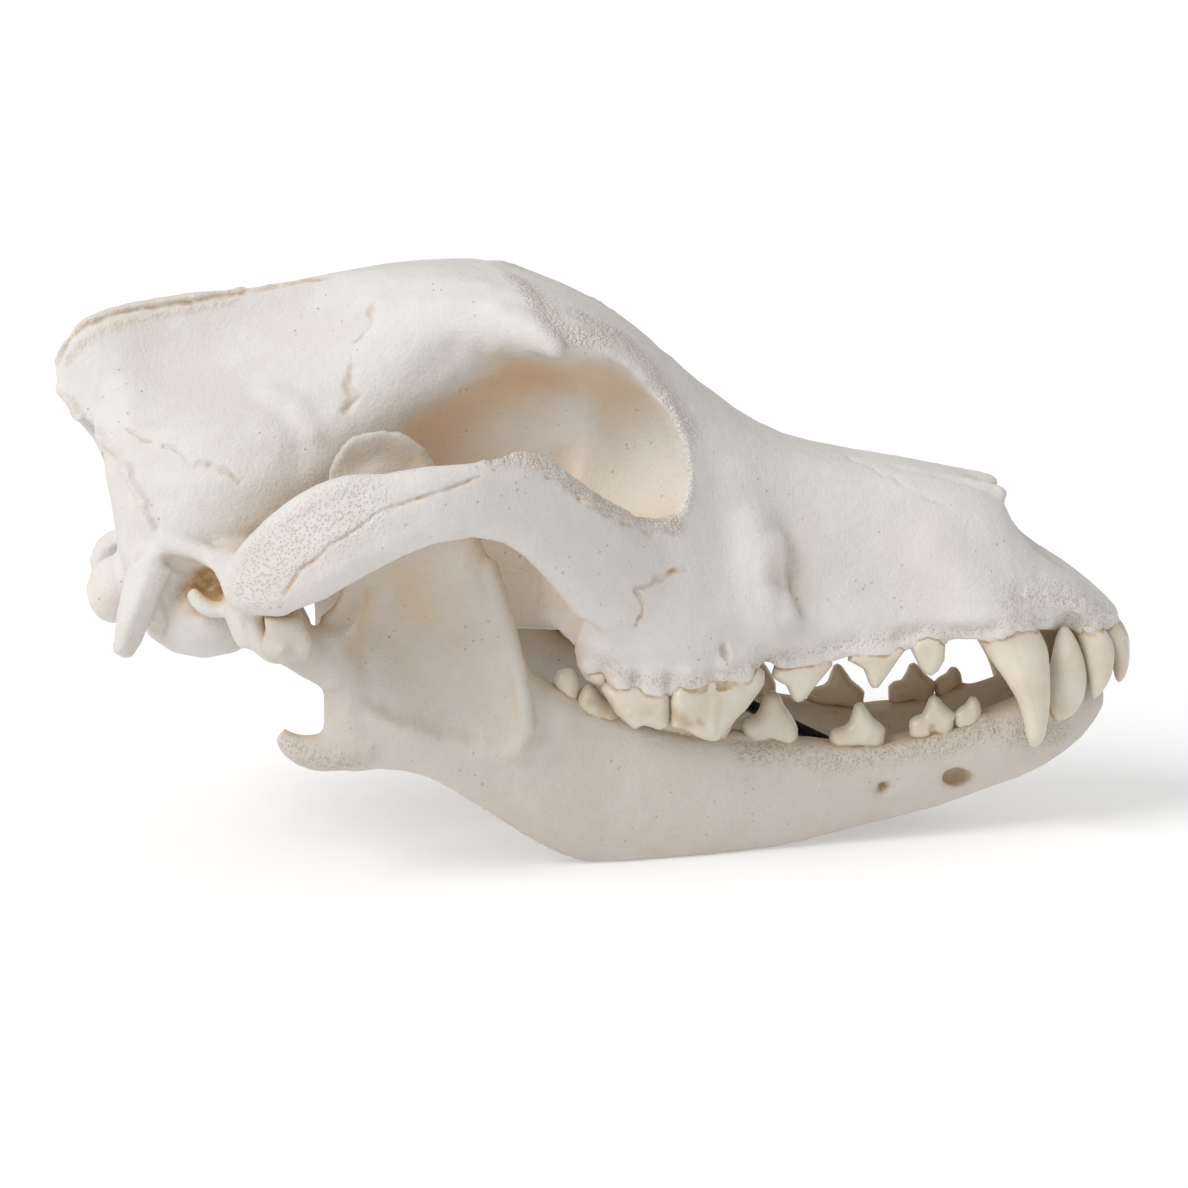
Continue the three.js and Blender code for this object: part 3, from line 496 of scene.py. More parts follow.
jawMarks = {
    # painted shade: tan in the jaw's muscle hollow and above it
    "muscleHollow": {"line": [(395, 620), (425, 650), (465, 695)], "reach": 17, "raise": -3.4, "shade": 0.7},
    "muscleHigh": {"line": [(400, 590), (440, 560)], "reach": 9, "raise": -0.9, "shade": 0.1},
    "frontRidge": {"line": [(470, 500), (486, 545), (497, 590), (508, 630), (517, 665), (523, 700),
        (526, 725), (520, 748)], "reach": 3, "raise": 1.7},
    "frontEdge": {"line": [(473, 505), (488, 548), (499, 592), (510, 632), (519, 667), (525, 702),
        (527, 727)], "reach": 2.6, "raise": 0.8, "cuts": 1},
    "frontFall": {"line": [(542, 640), (546, 690), (545, 730)], "reach": 5, "raise": -0.8},
    "lowRidge": {"line": [(375, 716), (420, 734), (470, 746), (515, 750)], "reach": 3.4, "raise": 1.3},
    "backRib": {"line": [(318, 625), (335, 655), (345, 690), (350, 715)], "reach": 6, "raise": 1.4},
    "topRim": {"line": [(332, 470), (335, 454), (351, 441), (380, 434), (404, 438), (423, 450)], "reach": 1.6,
        "raise": 0.7},
    # painted shade: a little tan in the hollow below the rim
    "topHollow": {"line": [(356, 466), (384, 456), (410, 466)], "reach": 4, "raise": -1, "shade": 0.3},
    "muscleWrinkle": {"line": [(372, 700), (400, 716), (430, 726), (475, 737)], "reach": 2, "raise": -0.7,
        "wave": 1.6},
    "highWrinkle": {"line": [(350, 590), (375, 576), (405, 566), (440, 572), (455, 590)], "reach": 1.8,
        "raise": 0.7, "wave": 1.4},
    "highFold": {"line": [(375, 590), (405, 580), (440, 592), (462, 625)], "reach": 2.4, "raise": -0.6,
        "wave": 1.2},
    "angleRough": {"line": [(285, 742), (310, 756), (345, 765)], "reach": 5, "grain": 0.1, "porous": 0.08,
        "pitted": 1, "cuts": 1},
    "chinHole": {"line": [(944, 779), (966, 772)], "reach": 3.4, "ochre": 0.45, "deep": 1},
    "smallHole": {"line": [(883, 787)], "reach": 2.2, "ochre": 0.5, "deep": 1},
    "lowerSockets": {"line": [(745, 750), (800, 752), (830, 760), (885, 752), (905, 748), (955, 742),
        (985, 728), (1020, 735), (1060, 735)], "reach": 5.4, "grain": 0.14, "raise": 0.1, "porous": 0.25,
        "pitted": 1, "ochre": 0.12, "cuts": 1},
}


def closeSuture(piece, other):      # the face bones grow against the brain case
    suture = boneSettings["suture"]
    tree = treeOf(other)
    coords = coordsOf(piece)
    for i, c in enumerate(coords):
        spot, normal, face, gap = tree.find_nearest(Vector(c), suture["reach"])
        if spot is not None:
            coords[i] += (np.array(spot) - c) * suture["overlap"]
    setCoords(piece, coords)


def roundOff(obj):
    rounding = obj.modifiers.new("round", 'SUBSURF')
    rounding.levels = rounding.render_levels = 2
    finishModifiers(obj)


def rod(name, stations):      # a chain of points with their radii, given a skin
    edges = [(i, i + 1) for i in range(len(stations) - 1)]
    obj = newPiece(name, [(x, y, z) for x, y, z, r in stations], edges, [])
    obj.modifiers.new("skin", 'SKIN')
    for vertex, (x, y, z, r) in zip(obj.data.skin_vertices[0].data, stations):
        vertex.radius = (r * mm, r * mm)
    roundOff(obj)
    return obj


def socketCutter(name):      # the rim's outline, drawn in step by step towards the middle of the skull
    rim, middle = np.array(socketSettings["outline"]), np.array(socketSettings["middle"])
    rings = [[(x, y, z) for x, z in middle + (rim - middle) * size] for y, size in socketSettings["depths"]]
    count = len(rim)
    last = (len(rings) - 1) * count
    faces = []
    for here in range(0, last, count):
        for i in range(count):
            after = (i + 1) % count
            faces.append([here + i, here + after, here + count + after, here + count + i])
    faces += [list(range(count)), list(range(last, last + count))]
    obj = newPiece(name, [point for ring in rings for point in ring], [], faces)
    faceOutward(obj, inThrees=True)
    return obj


def mirrored(obj, keep=True):      # the same form on the left side
    pick(obj)
    if keep:
        bpy.ops.object.duplicate()
    copy = bpy.context.active_object
    coords = coordsOf(copy)
    coords[:, 1] *= -1
    setCoords(copy, coords)
    faceOutward(copy)
    return copy


def cutBothSides(bone, cutter):
    cutAway(bone, mirrored(cutter))
    cutAway(bone, cutter)


def makeCranium():
    rear = copyNode("skull_base", "cranium")
    roof = copyNode("skull_cap", "roof")
    front = copyNode("muzzle", "face")
    cheeks = [copyNode("zygomatic_" + side, "cheek_" + side) for side in ("right", "left")]
    closeSuture(roof, rear)
    for cheek in cheeks:
        closeSuture(cheek, front)
        closeSuture(cheek, rear)
    closeSuture(front, rear)
    closeSuture(front, roof)
    cutAway(front, slab("upperCrowns", boneSettings["upperCrowns"], *boneSettings["cutWidth"]))
    for bone in (rear, roof, front):
        for cutter in (socketCutter("socket"), holeCutter("socketDepth", socketDepth)):
            cutBothSides(bone, cutter)
    cutBothSides(rear, slab("bladeTrim", **bladeTrim))
    forms = [rod(name, stations) for name, stations in craniumForms.items()]
    forms += [mirrored(form) for form in forms]
    pick(rear, roof, front, *cheeks, *forms)
    bpy.ops.object.join()
    remesh(rear, boneSettings["voxel"])
    soften(rear, *boneSettings["soften"])
    return rear


def holeCutter(name, hole):
    bpy.ops.object.select_all(action='DESELECT')
    bpy.ops.mesh.primitive_uv_sphere_add(segments=24, ring_count=14, radius=mm)
    obj = bpy.context.active_object
    obj.name = name
    bpy.ops.object.mode_set(mode='EDIT')
    bpy.ops.mesh.select_all(action='SELECT')
    bpy.ops.transform.resize(value=hole["size"], center_override=(0, 0, 0))
    bpy.ops.transform.rotate(value=math.radians(hole["lean"]), orient_axis='Y', center_override=(0, 0, 0))
    bpy.ops.transform.translate(value=[v * mm for v in hole["middle"]])
    bpy.ops.mesh.quads_convert_to_tris()
    bpy.ops.object.mode_set(mode='OBJECT')
    return obj


def makeJaw(side):
    jaw = copyNode("mandible_" + side, "jaw_" + side)
    cutAway(jaw, slab("lowerCrowns", boneSettings["lowerCrowns"], *boneSettings["cutWidth"]))
    forms = [rod(name, stations) for name, stations in jawForms.items()]
    forms.append(slab("jointBlock", **jointBlock))
    outer = treeOf(nodes["mandible_right"])
    cutters = []
    for name, hole in jawHoles.items():
        spot = traceLine(outer, [hole["pixel"]])[0][0]
        cutters.append(holeCutter(name, hole | {"middle": spot}))
    if side == "left":
        for obj in forms + cutters:
            mirrored(obj, keep=False)
    for cutter in cutters:
        cutAway(jaw, cutter)
    pick(jaw, *forms)
    bpy.ops.object.join()
    remesh(jaw, boneSettings["voxel"])
    soften(jaw, *boneSettings["soften"])
    return jaw


cranium = makeCranium()
jaws = {side: makeJaw(side) for side in ("right", "left")}
bones = [cranium, *jaws.values()]
for marks, pieces in ((craniumMarks | cheekMarks, [cranium]), (jawMarks, list(jaws.values()))):
    tree = treeOf(pieces[0])
    lines = {name: traceLine(tree, mark["line"]) for name, mark in marks.items()}
    marks = {name: mark for name, mark in marks.items() if len(lines[name][0])}
    for piece in pieces:
        carve(piece, marks, lines)
        thin(piece, boneSettings["triangles"])
        tint(piece, marks, lines)
print("bones", {o.name: sum(len(p.vertices) - 2 for p in o.data.polygons) for o in bones})


# How deep each place lies among the bones, from rays that other bone stops; the bone finish paints it as
# shade, warmer and tan in the recesses, with some stain
hollowSettings = {"samples": 14000, "rays": 20, "start": 1.6, "length": 42, "lobe": 1.02, "near": 12,
                  "alike": 0.2}


def bonesTree():
    points, faces = [], []
    for piece in bones:
        base = len(points)
        points += [Vector(c) for c in coordsOf(piece)]
        faces += [[base + i for i in p.vertices] for p in piece.data.polygons]
    return BVHTree.FromPolygons(points, faces)


# painted shade: the share of blocked rays, kept as the hollow attribute
def paintHollows(obj, tree):
    coords, normals = coordsOf(obj), normalsOf(obj)
    step = max(1, len(coords) // hollowSettings["samples"])
    chosen = np.arange(0, len(coords), step)
    lobe = rng.normal(size=(hollowSettings["rays"], 3))
    lobe /= np.linalg.norm(lobe, axis=1)[:, None]
    finder = KDTree(len(chosen))
    shut = np.zeros(len(chosen))
    for row, i in enumerate(chosen):
        finder.insert(coords[i], row)
        start = Vector(coords[i] + normals[i] * hollowSettings["start"])
        for ray in lobe + normals[i] * hollowSettings["lobe"]:
            if tree.ray_cast(start, Vector(ray).normalized(), hollowSettings["length"])[0] is not None:
                shut[row] += 1 / hollowSettings["rays"]
    finder.balance()
    values = np.empty(len(coords))
    for i, c in enumerate(coords):      # the mean of the nearest places that face alike
        rows = [row for spot, row, gap in finder.find_n(c, hollowSettings["near"])]
        near = [shut[row] for row in rows if normals[chosen[row]] @ normals[i] > hollowSettings["alike"]]
        values[i] = sum(near) / max(len(near), 1)
    paint(obj, "hollow", values)


allBones = bonesTree()
for piece in bones:
    paintHollows(piece, allBones)
print("hollows")


# Teeth of the right side, in millimetres: a cheek tooth is a side outline in x and z, a front tooth is a
# stack of ovals, each centre (x, y, z) with its half length along x and half width along y
toothSettings = {"voxel": 0.36, "soften": (0.5, 4), "tongueTurn": 1.4,
                 "neck": {"reach": 1.1, "inside": -0.25}}
upperCheekTeeth = {
    "fourthPremolar": {"middle": (21.2, -31.8), "heading": 22, "width": 8.4, "edge": 2.6,
        "outline": [(31.6, 37.2), (31.6, 39.6), (30, 41), (26, 41.4), (21, 41.2), (17, 40.6), (13, 39.8),
        (11.5, 38.2), (11.2, 36), (11.3, 33.5), (11.5, 30.5), (13.6, 29.9), (15.7, 28.6), (18.1, 27.2),
        (20.4, 26.4), (22.1, 26.7), (23.6, 28.2), (25.5, 30.3), (27.7, 32.2), (29.8, 34.8)]},
    "thirdPremolar": {"middle": (39.8, -24), "heading": 14, "width": 5.6, "edge": 2.2,
        "outline": [(33.2, 38.4), (33.8, 40.4), (37, 41.4), (42, 41.9), (45.6, 41.6), (46.4, 39.6),
        (43.6, 36.5), (41.5, 33.9), (40, 32.5), (38.7, 32.2), (37.7, 33), (36.8, 35), (36.3, 36),
        (35.1, 36.6), (34, 37.4)]},
    "secondPremolar": {"middle": (55.4, -21.2), "heading": 6, "width": 5, "edge": 2.2,
        "outline": [(49.3, 40.3), (50, 42), (53, 42.9), (57, 42.8), (60.4, 43.6), (61.8, 42.4), (60.4, 40.5),
        (58.8, 38.2), (57.1, 35.8), (55.9, 34.2), (54.6, 34.2), (53.8, 35.5), (53.3, 37), (52.7, 38.3),
        (50.6, 39.6)]},
    "firstPremolar": {"middle": (66.6, -20), "heading": 3, "width": 4.6, "edge": 2.2,
        "outline": [(62.5, 42.6), (63.4, 44.4), (66, 45.2), (68.8, 44.6), (70, 42.6), (69.9, 39.6),
        (68.6, 37.3), (67, 36.2), (65.7, 36.8), (64.2, 38.8), (62.9, 41.4)]},
    "firstMolar": {"middle": (4.8, -35), "heading": 4, "width": 9, "edge": 3, "outline": [(-2.6, 38.6),
        (-1.6, 40), (2, 40.2), (7, 39.6), (10.6, 39.2), (11.7, 37.8), (11.8, 33), (11.2, 30.4), (9.2, 29.6),
        (7.4, 30.4), (6, 30.8), (4.2, 30), (2.4, 31.4), (0.6, 33), (-0.8, 35.3)]},
    "secondMolar": {"middle": (-4.4, -31.5), "heading": -8, "width": 8, "edge": 2.4, "outline": [(-6.8, 41.6),
        (-6, 43.2), (-3, 43.4), (-1, 42.6), (-0.2, 41), (-0.3, 39), (-1.4, 38), (-3.3, 38.6), (-5.4, 39.6)]},
}
lowerCheekTeeth = {
    "firstPremolar": {"middle": (76, -13.6), "heading": 10, "width": 4.2, "edge": 2.2,
        "outline": [(72.9, 26.8), (73, 24.2), (74.4, 22.6), (77, 22.4), (78.6, 23.8), (78.8, 25), (78.9, 27),
        (78.5, 28.8), (77.6, 30), (76.4, 30.1), (75.4, 28.7), (74.2, 28)]},
    "secondPremolar": {"middle": (68.3, -14.8), "heading": 11, "width": 4.8, "edge": 2.2,
        "outline": [(63.2, 25.4), (63.3, 22.6), (64.6, 20.8), (66.8, 20.8), (68.4, 22), (70, 20.8), (72, 21),
        (73, 22.8), (72.9, 24.6), (73.3, 26.6), (72.1, 27.6), (70.8, 28.7), (69.7, 30.2), (68.6, 30.9),
        (67.5, 30.3), (66.9, 28.6), (66, 27), (64.4, 26.6)]},
    "thirdPremolar": {"middle": (52.4, -17.4), "heading": 12, "width": 5.4, "edge": 2.4,
        "outline": [(46.1, 23.7), (46.3, 20.8), (47.8, 19.2), (50.6, 19.4), (52.2, 20.4), (54, 19.3),
        (56.8, 19), (58.1, 20.6), (58.1, 22.8), (58.3, 24.3), (57.1, 25.6), (55.6, 26.8), (54.5, 28.4),
        (53.4, 29.9), (52.5, 30.3), (51.6, 29.8), (51, 28.2), (50.4, 26.4), (49.6, 25.6), (48.1, 25.1),
        (46.7, 24.8)]},
    "fourthPremolar": {"middle": (33.4, -21), "heading": 12, "width": 6.2, "edge": 2.6,
        "outline": [(27.3, 27.6), (27.4, 23.6), (29, 21.6), (32, 22), (33.4, 23), (35, 21.8), (38, 21),
        (39.6, 22.8), (39.6, 25.6), (39.1, 26.9), (37.8, 29.1), (36.5, 30.9), (35.9, 32.5), (34.8, 33.6),
        (33.6, 34), (32.6, 33.6), (31.8, 32.1), (31.2, 30.4), (30.5, 29.3), (29.6, 29), (28.2, 28.4)]},
    "firstMolar": {"middle": (20.4, -24), "heading": 12, "width": 7.4, "edge": 2.8, "outline": [(25, 21.5),
        (25.2, 26), (26.4, 30), (28, 33.4), (27.2, 35.2), (25.4, 34), (24, 32.8), (22.6, 36), (20, 39.4),
        (17.6, 37.4), (15.4, 33), (13.4, 33.2), (10.6, 33), (8.6, 31), (8.2, 27), (9, 22)]},
    "secondMolar": {"middle": (-2.6, -29.4), "heading": 12, "width": 6.6, "edge": 2.4,
        "outline": [(-7.4, 35.2), (-6.6, 30), (-2, 26.4), (1.6, 26), (2.1, 32), (1.2, 34), (-0.6, 34.9),
        (-1.9, 35.8), (-2.9, 37.4), (-4.4, 38.3), (-5.8, 37.8), (-6.9, 36.4)]},
    "thirdMolar": {"middle": (-9, -30.6), "heading": 10, "width": 5, "edge": 2.2, "outline": [(-12, 39.2),
        (-11.2, 41.1), (-9.9, 41.8), (-8, 41.7), (-6.7, 40.4), (-6.3, 38.7), (-7, 35), (-10, 35)]},
}
upperFrontTeeth = {
    "canine": [((78, -15.6, 52), 4.6, 3), ((82.6, -17.6, 46), 6.8, 4.3), ((84.6, -18.4, 42), 6.9, 4.4),
        ((85.7, -19, 39), 6.2, 4.1), ((87.4, -19.6, 34.7), 4.7, 3.6), ((88.7, -19.8, 30.4), 3.4, 3),
        ((89.2, -19.6, 26.2), 2.6, 2.4), ((89.3, -19.2, 22.9), 2, 1.8), ((89.2, -18.9, 21), 1.3, 1.2),
        ((89.1, -18.8, 20.3), 0.4, 0.4)],
    "outerIncisor": [((97, -10, 50), 2, 1.8), ((100.6, -10.8, 45), 3.2, 2.6),
        ((102.8, -11.6, 41.5), 3.5, 2.9), ((103.5, -12, 38.6), 3.5, 2.8), ((103.7, -12, 35), 2.9, 2.5),
        ((103.7, -11.9, 32.4), 2.2, 2), ((103.2, -11.8, 30.4), 1.4, 1.4), ((102.8, -11.7, 28.8), 0.5, 0.6)],
    "middleIncisor": [((101, -6.6, 49), 2, 1.8), ((105.4, -7.2, 44.4), 2.6, 2.2),
        ((107.8, -7.5, 40.6), 2.5, 2.4), ((108.8, -7.6, 37.6), 2.2, 2.5), ((109, -7.6, 34.8), 1.7, 2.4),
        ((108.9, -7.6, 32.6), 1.2, 2), ((108.7, -7.6, 31.3), 0.5, 1.2)],
    "innerIncisor": [((102.4, -2.5, 48.6), 2, 1.5), ((107, -2.6, 44), 2.4, 1.9),
        ((109.2, -2.6, 40.6), 2.3, 2.1), ((110, -2.6, 37.6), 1.9, 2.2), ((110.1, -2.6, 34.8), 1.5, 2.1),
        ((109.9, -2.6, 32.6), 1, 1.8), ((109.7, -2.6, 31.6), 0.5, 1.1)],
}
lowerFrontTeeth = {
    "canine": [((86, -8, 17), 3, 2.4), ((92, -10.4, 22), 4, 3.4), ((95, -11.6, 26), 4.3, 3.7),
        ((96.2, -12.4, 29.5), 4.5, 3.6), ((96.7, -13.2, 33.1), 4.3, 3.2), ((96.7, -13.8, 37.4), 3.6, 2.6),
        ((96.2, -14.1, 41.2), 2.6, 2), ((95.8, -14.2, 43.8), 1.5, 1.2), ((95.6, -14.2, 45), 0.5, 0.5)],
    "outerIncisor": [((97, -7.4, 26), 1.8, 1.5), ((99, -8, 31), 2.3, 1.9), ((100, -8.2, 34), 2.1, 2),
        ((100.4, -8.3, 36.2), 1.5, 1.8), ((100.4, -8.3, 37.2), 0.6, 1.2)],
    "middleIncisor": [((99.4, -4.9, 26), 1.8, 1.4), ((102.6, -5.4, 31), 2.3, 1.7),
        ((104.4, -5.6, 34.4), 1.9, 1.8), ((105, -5.7, 36.6), 1.2, 1.6), ((105.1, -5.7, 37.4), 0.5, 1)],
    "innerIncisor": [((101.2, -2.1, 26), 1.7, 1.2), ((104.4, -2.1, 31), 2.1, 1.5),
        ((106, -2.1, 34), 1.7, 1.6), ((106.6, -2.1, 36), 1.1, 1.4), ((106.7, -2.1, 36.8), 0.5, 0.9)],
}
toothRows = {"upper": (upperCheekTeeth, upperFrontTeeth), "lower": (lowerCheekTeeth, lowerFrontTeeth)}
toothMarks = {
    "upper": {
        "carnassialPit": {"line": [(700, 721), (704, 724)], "reach": 1, "raise": -0.5, "ochre": 0.8,
            "deep": 1},
        "carnassialCrest": {"line": [(716, 700), (714, 720), (713, 736)], "reach": 1.6, "raise": 0.3},
        "carnassialStain": {"line": [(671, 700), (676, 716), (690, 728)], "reach": 2.2, "ochre": 0.5,
            "deep": 1},
        "molarStain": {"line": [(604, 700), (630, 712), (655, 712), (668, 716)], "reach": 2.4, "ochre": 0.5,
            "deep": 1},
        "fangLine": {"line": [(1012, 640), (1030, 690), (1040, 730)], "reach": 0.8, "ochre": 0.18},
    },
    "lower": {
        "molarStain": {"line": [(585, 700), (600, 708), (612, 716)], "reach": 2.4, "ochre": 0.55, "deep": 1},
        "premolarPit": {"line": [(933, 728), (934, 734)], "reach": 1.3, "raise": -0.6, "ochre": 0.9,
            "deep": 1},
    },
}


def cheekTooth(name, tooth):      # a side outline blown up like a cushion, sharp along its cutting edge
    points = np.array(tooth["outline"], float)
    obj = newPiece(name, [(x, 0, z) for x, z in points], [], [list(range(len(points)))])
    bpy.ops.object.mode_set(mode='EDIT')
    bpy.ops.mesh.select_all(action='SELECT')
    bpy.ops.mesh.quads_convert_to_tris(ngon_method='BEAUTY')
    for turn in range(2):
        bpy.ops.mesh.subdivide(number_cuts=3, smoothness=0)
        bpy.ops.mesh.beautify_fill()
    bpy.ops.object.mode_set(mode='OBJECT')
    flat = coordsOf(obj)[:, [0, 2]]
    ends = np.roll(points, -1, axis=0)
    gap = np.full(len(flat), 1e9)
    for a, b in zip(points, ends):
        along = np.clip(((flat - a) @ (b - a)) / max((b - a) @ (b - a), 1e-9), 0, 1)
        gap = np.minimum(gap, np.linalg.norm(flat - a - along[:, None] * (b - a), axis=1))
    swell = np.clip(gap / tooth["edge"], 0, 1)
    half = tooth["width"] / 2 * np.sqrt(1 - (1 - swell) ** 2)
    middle, turn = tooth["middle"], math.radians(tooth["heading"])
    sheets = []
    faces = [list(p.vertices) for p in obj.data.polygons]
    for side in (-1, 1):
        line = middle[1] + np.tan(turn) * (flat[:, 0] - middle[0])
        sheets.append(np.column_stack([flat[:, 0], line + side * half, flat[:, 1]]))
    total = len(flat)
    both = faces + [[i + total for i in reversed(f)] for f in faces]
    obj.data = newMesh(name, np.vstack(sheets), [], both)
    bpy.ops.object.mode_set(mode='EDIT')
    bpy.ops.mesh.select_all(action='SELECT')
    bpy.ops.mesh.remove_doubles(threshold=1e-6)
    bpy.ops.object.mode_set(mode='OBJECT')
    faceOutward(obj)
    return obj


def pegTooth(name, ovals):      # one oval pulled out from level to level, then closed
    (x, y, z), length, width = ovals[0]
    bpy.ops.object.select_all(action='DESELECT')
    bpy.ops.mesh.primitive_circle_add(vertices=20, radius=mm, fill_type='NGON', location=(0, 0, 0))
    obj = bpy.context.active_object
    obj.name = name
    bpy.ops.object.mode_set(mode='EDIT')
    bpy.ops.mesh.select_all(action='SELECT')
    bpy.ops.transform.resize(value=(length, width, 1), center_override=(0, 0, 0))
    bpy.ops.transform.translate(value=(x * mm, y * mm, z * mm))
    for (nextX, nextY, nextZ), nextLength, nextWidth in ovals[1:]:
        step = ((nextX - x) * mm, (nextY - y) * mm, (nextZ - z) * mm)
        bpy.ops.mesh.extrude_region_move(TRANSFORM_OT_translate={"value": step})
        x, y, z = nextX, nextY, nextZ
        bpy.ops.transform.resize(value=(nextLength / length, nextWidth / width, 1),
                                 center_override=(x * mm, y * mm, z * mm))
        length, width = nextLength, nextWidth
    bpy.ops.object.mode_set(mode='OBJECT')
    faceOutward(obj, inThrees=True)
    return obj


def makeTeeth(row, side):
    teeth = []
    cheekTeeth, frontTeeth = toothRows[row]
    for toothName, tooth in cheekTeeth.items():
        obj = cheekTooth(row + "_" + toothName, tooth)
        remesh(obj, toothSettings["voxel"])
        soften(obj, *toothSettings["soften"])
        teeth.append(obj)
    for toothName, ovals in frontTeeth.items():
        obj = pegTooth(row + "_" + toothName, ovals)
        roundOff(obj)
        teeth.append(obj)
    pick(*teeth)
    bpy.ops.object.join()
    whole = bpy.context.active_object
    whole.name = row + "_teeth_" + side
    if side == "left":
        mirrored(whole, keep=False)
    bpy.ops.object.shade_smooth()
    return whole


def stainAndShadeTeeth(piece, side, bone):      # brown stain where the crown leaves the bone, and painted shade: warmer and browner towards the tongue
    tree = treeOf(bone)
    coords, normals = coordsOf(piece), normalsOf(piece)
    found = [tree.find_nearest(Vector(c)) for c in coords]
    spots = np.array([spot for spot, normal, face, gap in found])
    gaps = np.array([gap for spot, normal, face, gap in found])
    outward = np.sum((spots - coords) * normals, axis=1)
    inner = normals[:, 1] * (1 if side == "right" else -1)
    neck = toothSettings["neck"]
    # painted shade: the tongue side, in the mouth's shade, gets a browner tone
    paint(piece, "tongue", np.clip(inner * toothSettings["tongueTurn"], 0, 1))
    paint(piece, "neck", np.where(outward > neck["inside"], np.clip(1 - gaps / neck["reach"], 0, 1), 0))


teeth = {(row, side): makeTeeth(row, side) for row in ("upper", "lower") for side in ("right", "left")}
for (row, side), piece in teeth.items():
    stainAndShadeTeeth(piece, side, cranium if row == "upper" else jaws[side])
for row in toothMarks:
    tree = treeOf(teeth[row, "right"])
    lines = {name: traceLine(tree, mark["line"]) for name, mark in toothMarks[row].items()}
    for side in ("right", "left"):
        carve(teeth[row, side], toothMarks[row], lines, uneven=False)
        tint(teeth[row, side], toothMarks[row], lines)
print("teeth", {o.name: len(o.data.polygons) for o in teeth.values()})


# Jaw spring: a close coil of dark wire
springSettings = {"ends": ((1.84, -11, 42.9), (48.84, -10.3, 19)), "coil": 1.15, "wire": 0.29, "pitch": 0.62,
                  "wireSides": 8, "turnSteps": 14}


def makeSpring():
    start, end = (Vector(p) * mm for p in springSettings["ends"])
    length = (end - start).length
    turns = round(length / (springSettings["pitch"] * mm))
    bpy.ops.object.select_all(action='DESELECT')
    bpy.ops.mesh.primitive_circle_add(vertices=springSettings["wireSides"], fill_type='NOTHING',
                                      radius=springSettings["wire"] * mm)
    spring = bpy.context.active_object
    spring.name = "spring_coil"
    bpy.ops.object.mode_set(mode='EDIT')
    bpy.ops.mesh.select_all(action='SELECT')
    bpy.ops.transform.rotate(value=math.pi / 2, orient_axis='X', center_override=(0, 0, 0))
    bpy.ops.transform.translate(value=(springSettings["coil"] * mm, 0, 0))
    bpy.ops.object.mode_set(mode='OBJECT')
    screw = spring.modifiers.new("coil", 'SCREW')
    screw.steps = screw.render_steps = springSettings["turnSteps"]
    screw.iterations = turns
    screw.screw_offset = length / turns
    screw.use_merge_vertices = False
    finishModifiers(spring)
    turned = (end - start).to_track_quat('Z', 'Y').to_matrix().to_4x4()
    spring.data.transform(Matrix.Translation(start) @ turned)
    bpy.ops.object.mode_set(mode='EDIT')
    bpy.ops.mesh.select_all(action='SELECT')
    bpy.ops.mesh.remove_doubles(threshold=1e-7)
    bpy.ops.mesh.fill_holes(sides=0)
    bpy.ops.object.mode_set(mode='OBJECT')
    faceOutward(spring)
    bpy.ops.object.shade_smooth()
    return spring


spring = makeSpring()
print("spring", len(spring.data.polygons))


# Materials
class Link:      # a socket that can be added, taken away and multiplied like a number
    def __init__(self, shader, socket):
        self.shader = shader
        self.socket = socket

    def maths(self, operation, other):
        return self.shader.node('ShaderNodeMath', {"operation": operation}, {0: self, 1: other})

    def __add__(self, other):
        return self.maths('ADD', other)

    def __sub__(self, other):
        return self.maths('SUBTRACT', other)

    def __mul__(self, other):
        return self.maths('MULTIPLY', other)


class Shader:
    def __init__(self, name):
        self.material = bpy.data.materials.new(name)
        self.material.use_nodes = True
        self.tree = self.material.node_tree
        self.surface = self.tree.nodes["Principled BSDF"]

    def node(self, kind, settings=None, sockets=None, output=0):
        made = self.tree.nodes.new(kind)
        for key, value in (settings or {}).items():
            setattr(made, key, value)
        for key, value in (sockets or {}).items():
            if isinstance(value, Link):
                self.tree.links.new(value.socket, made.inputs[key])
            else:
                made.inputs[key].default_value = value
        return Link(self, made.outputs[output])

    def attribute(self, name):
        return self.node('ShaderNodeAttribute', {"attribute_name": name}, output="Fac")

    def place(self):
        return self.node('ShaderNodeTexCoord', output="Object")

    def noise(self, scale, detail=4, rough=0.5):
        sockets = {"Vector": self.place(), "Scale": scale, "Detail": detail, "Roughness": rough}
        return self.node('ShaderNodeTexNoise', {}, sockets, output="Fac")

    def cells(self, scale, output="Distance"):
        return self.node('ShaderNodeTexVoronoi', {}, {"Vector": self.place(), "Scale": scale}, output=output)

    def ramp(self, value, low, high):      # 0 below low, 1 above high
        return self.node('ShaderNodeMapRange', {"interpolation_type": 'SMOOTHSTEP'},
                         {"Value": value, "From Min": low, "From Max": high})

    def blend(self, factor, first, second):
        colours = [(*c, 1) if isinstance(c, tuple) else c for c in (first, second)]
        sockets = {0: factor, 6: colours[0], 7: colours[1]}      # the mix node's factor, A and B for colours
        return self.node('ShaderNodeMix', {"data_type": 'RGBA'}, sockets, output=2)

    def bump(self, height, strength, distance, below=None):
        sockets = {"Height": height, "Strength": strength, "Distance": distance}
        if below is not None:
            sockets["Normal"] = below
        return self.node('ShaderNodeBump', {}, sockets)

    def feed(self, socket, value):
        if isinstance(value, Link):
            self.tree.links.new(value.socket, self.surface.inputs[socket])
        else:
            self.surface.inputs[socket].default_value = value
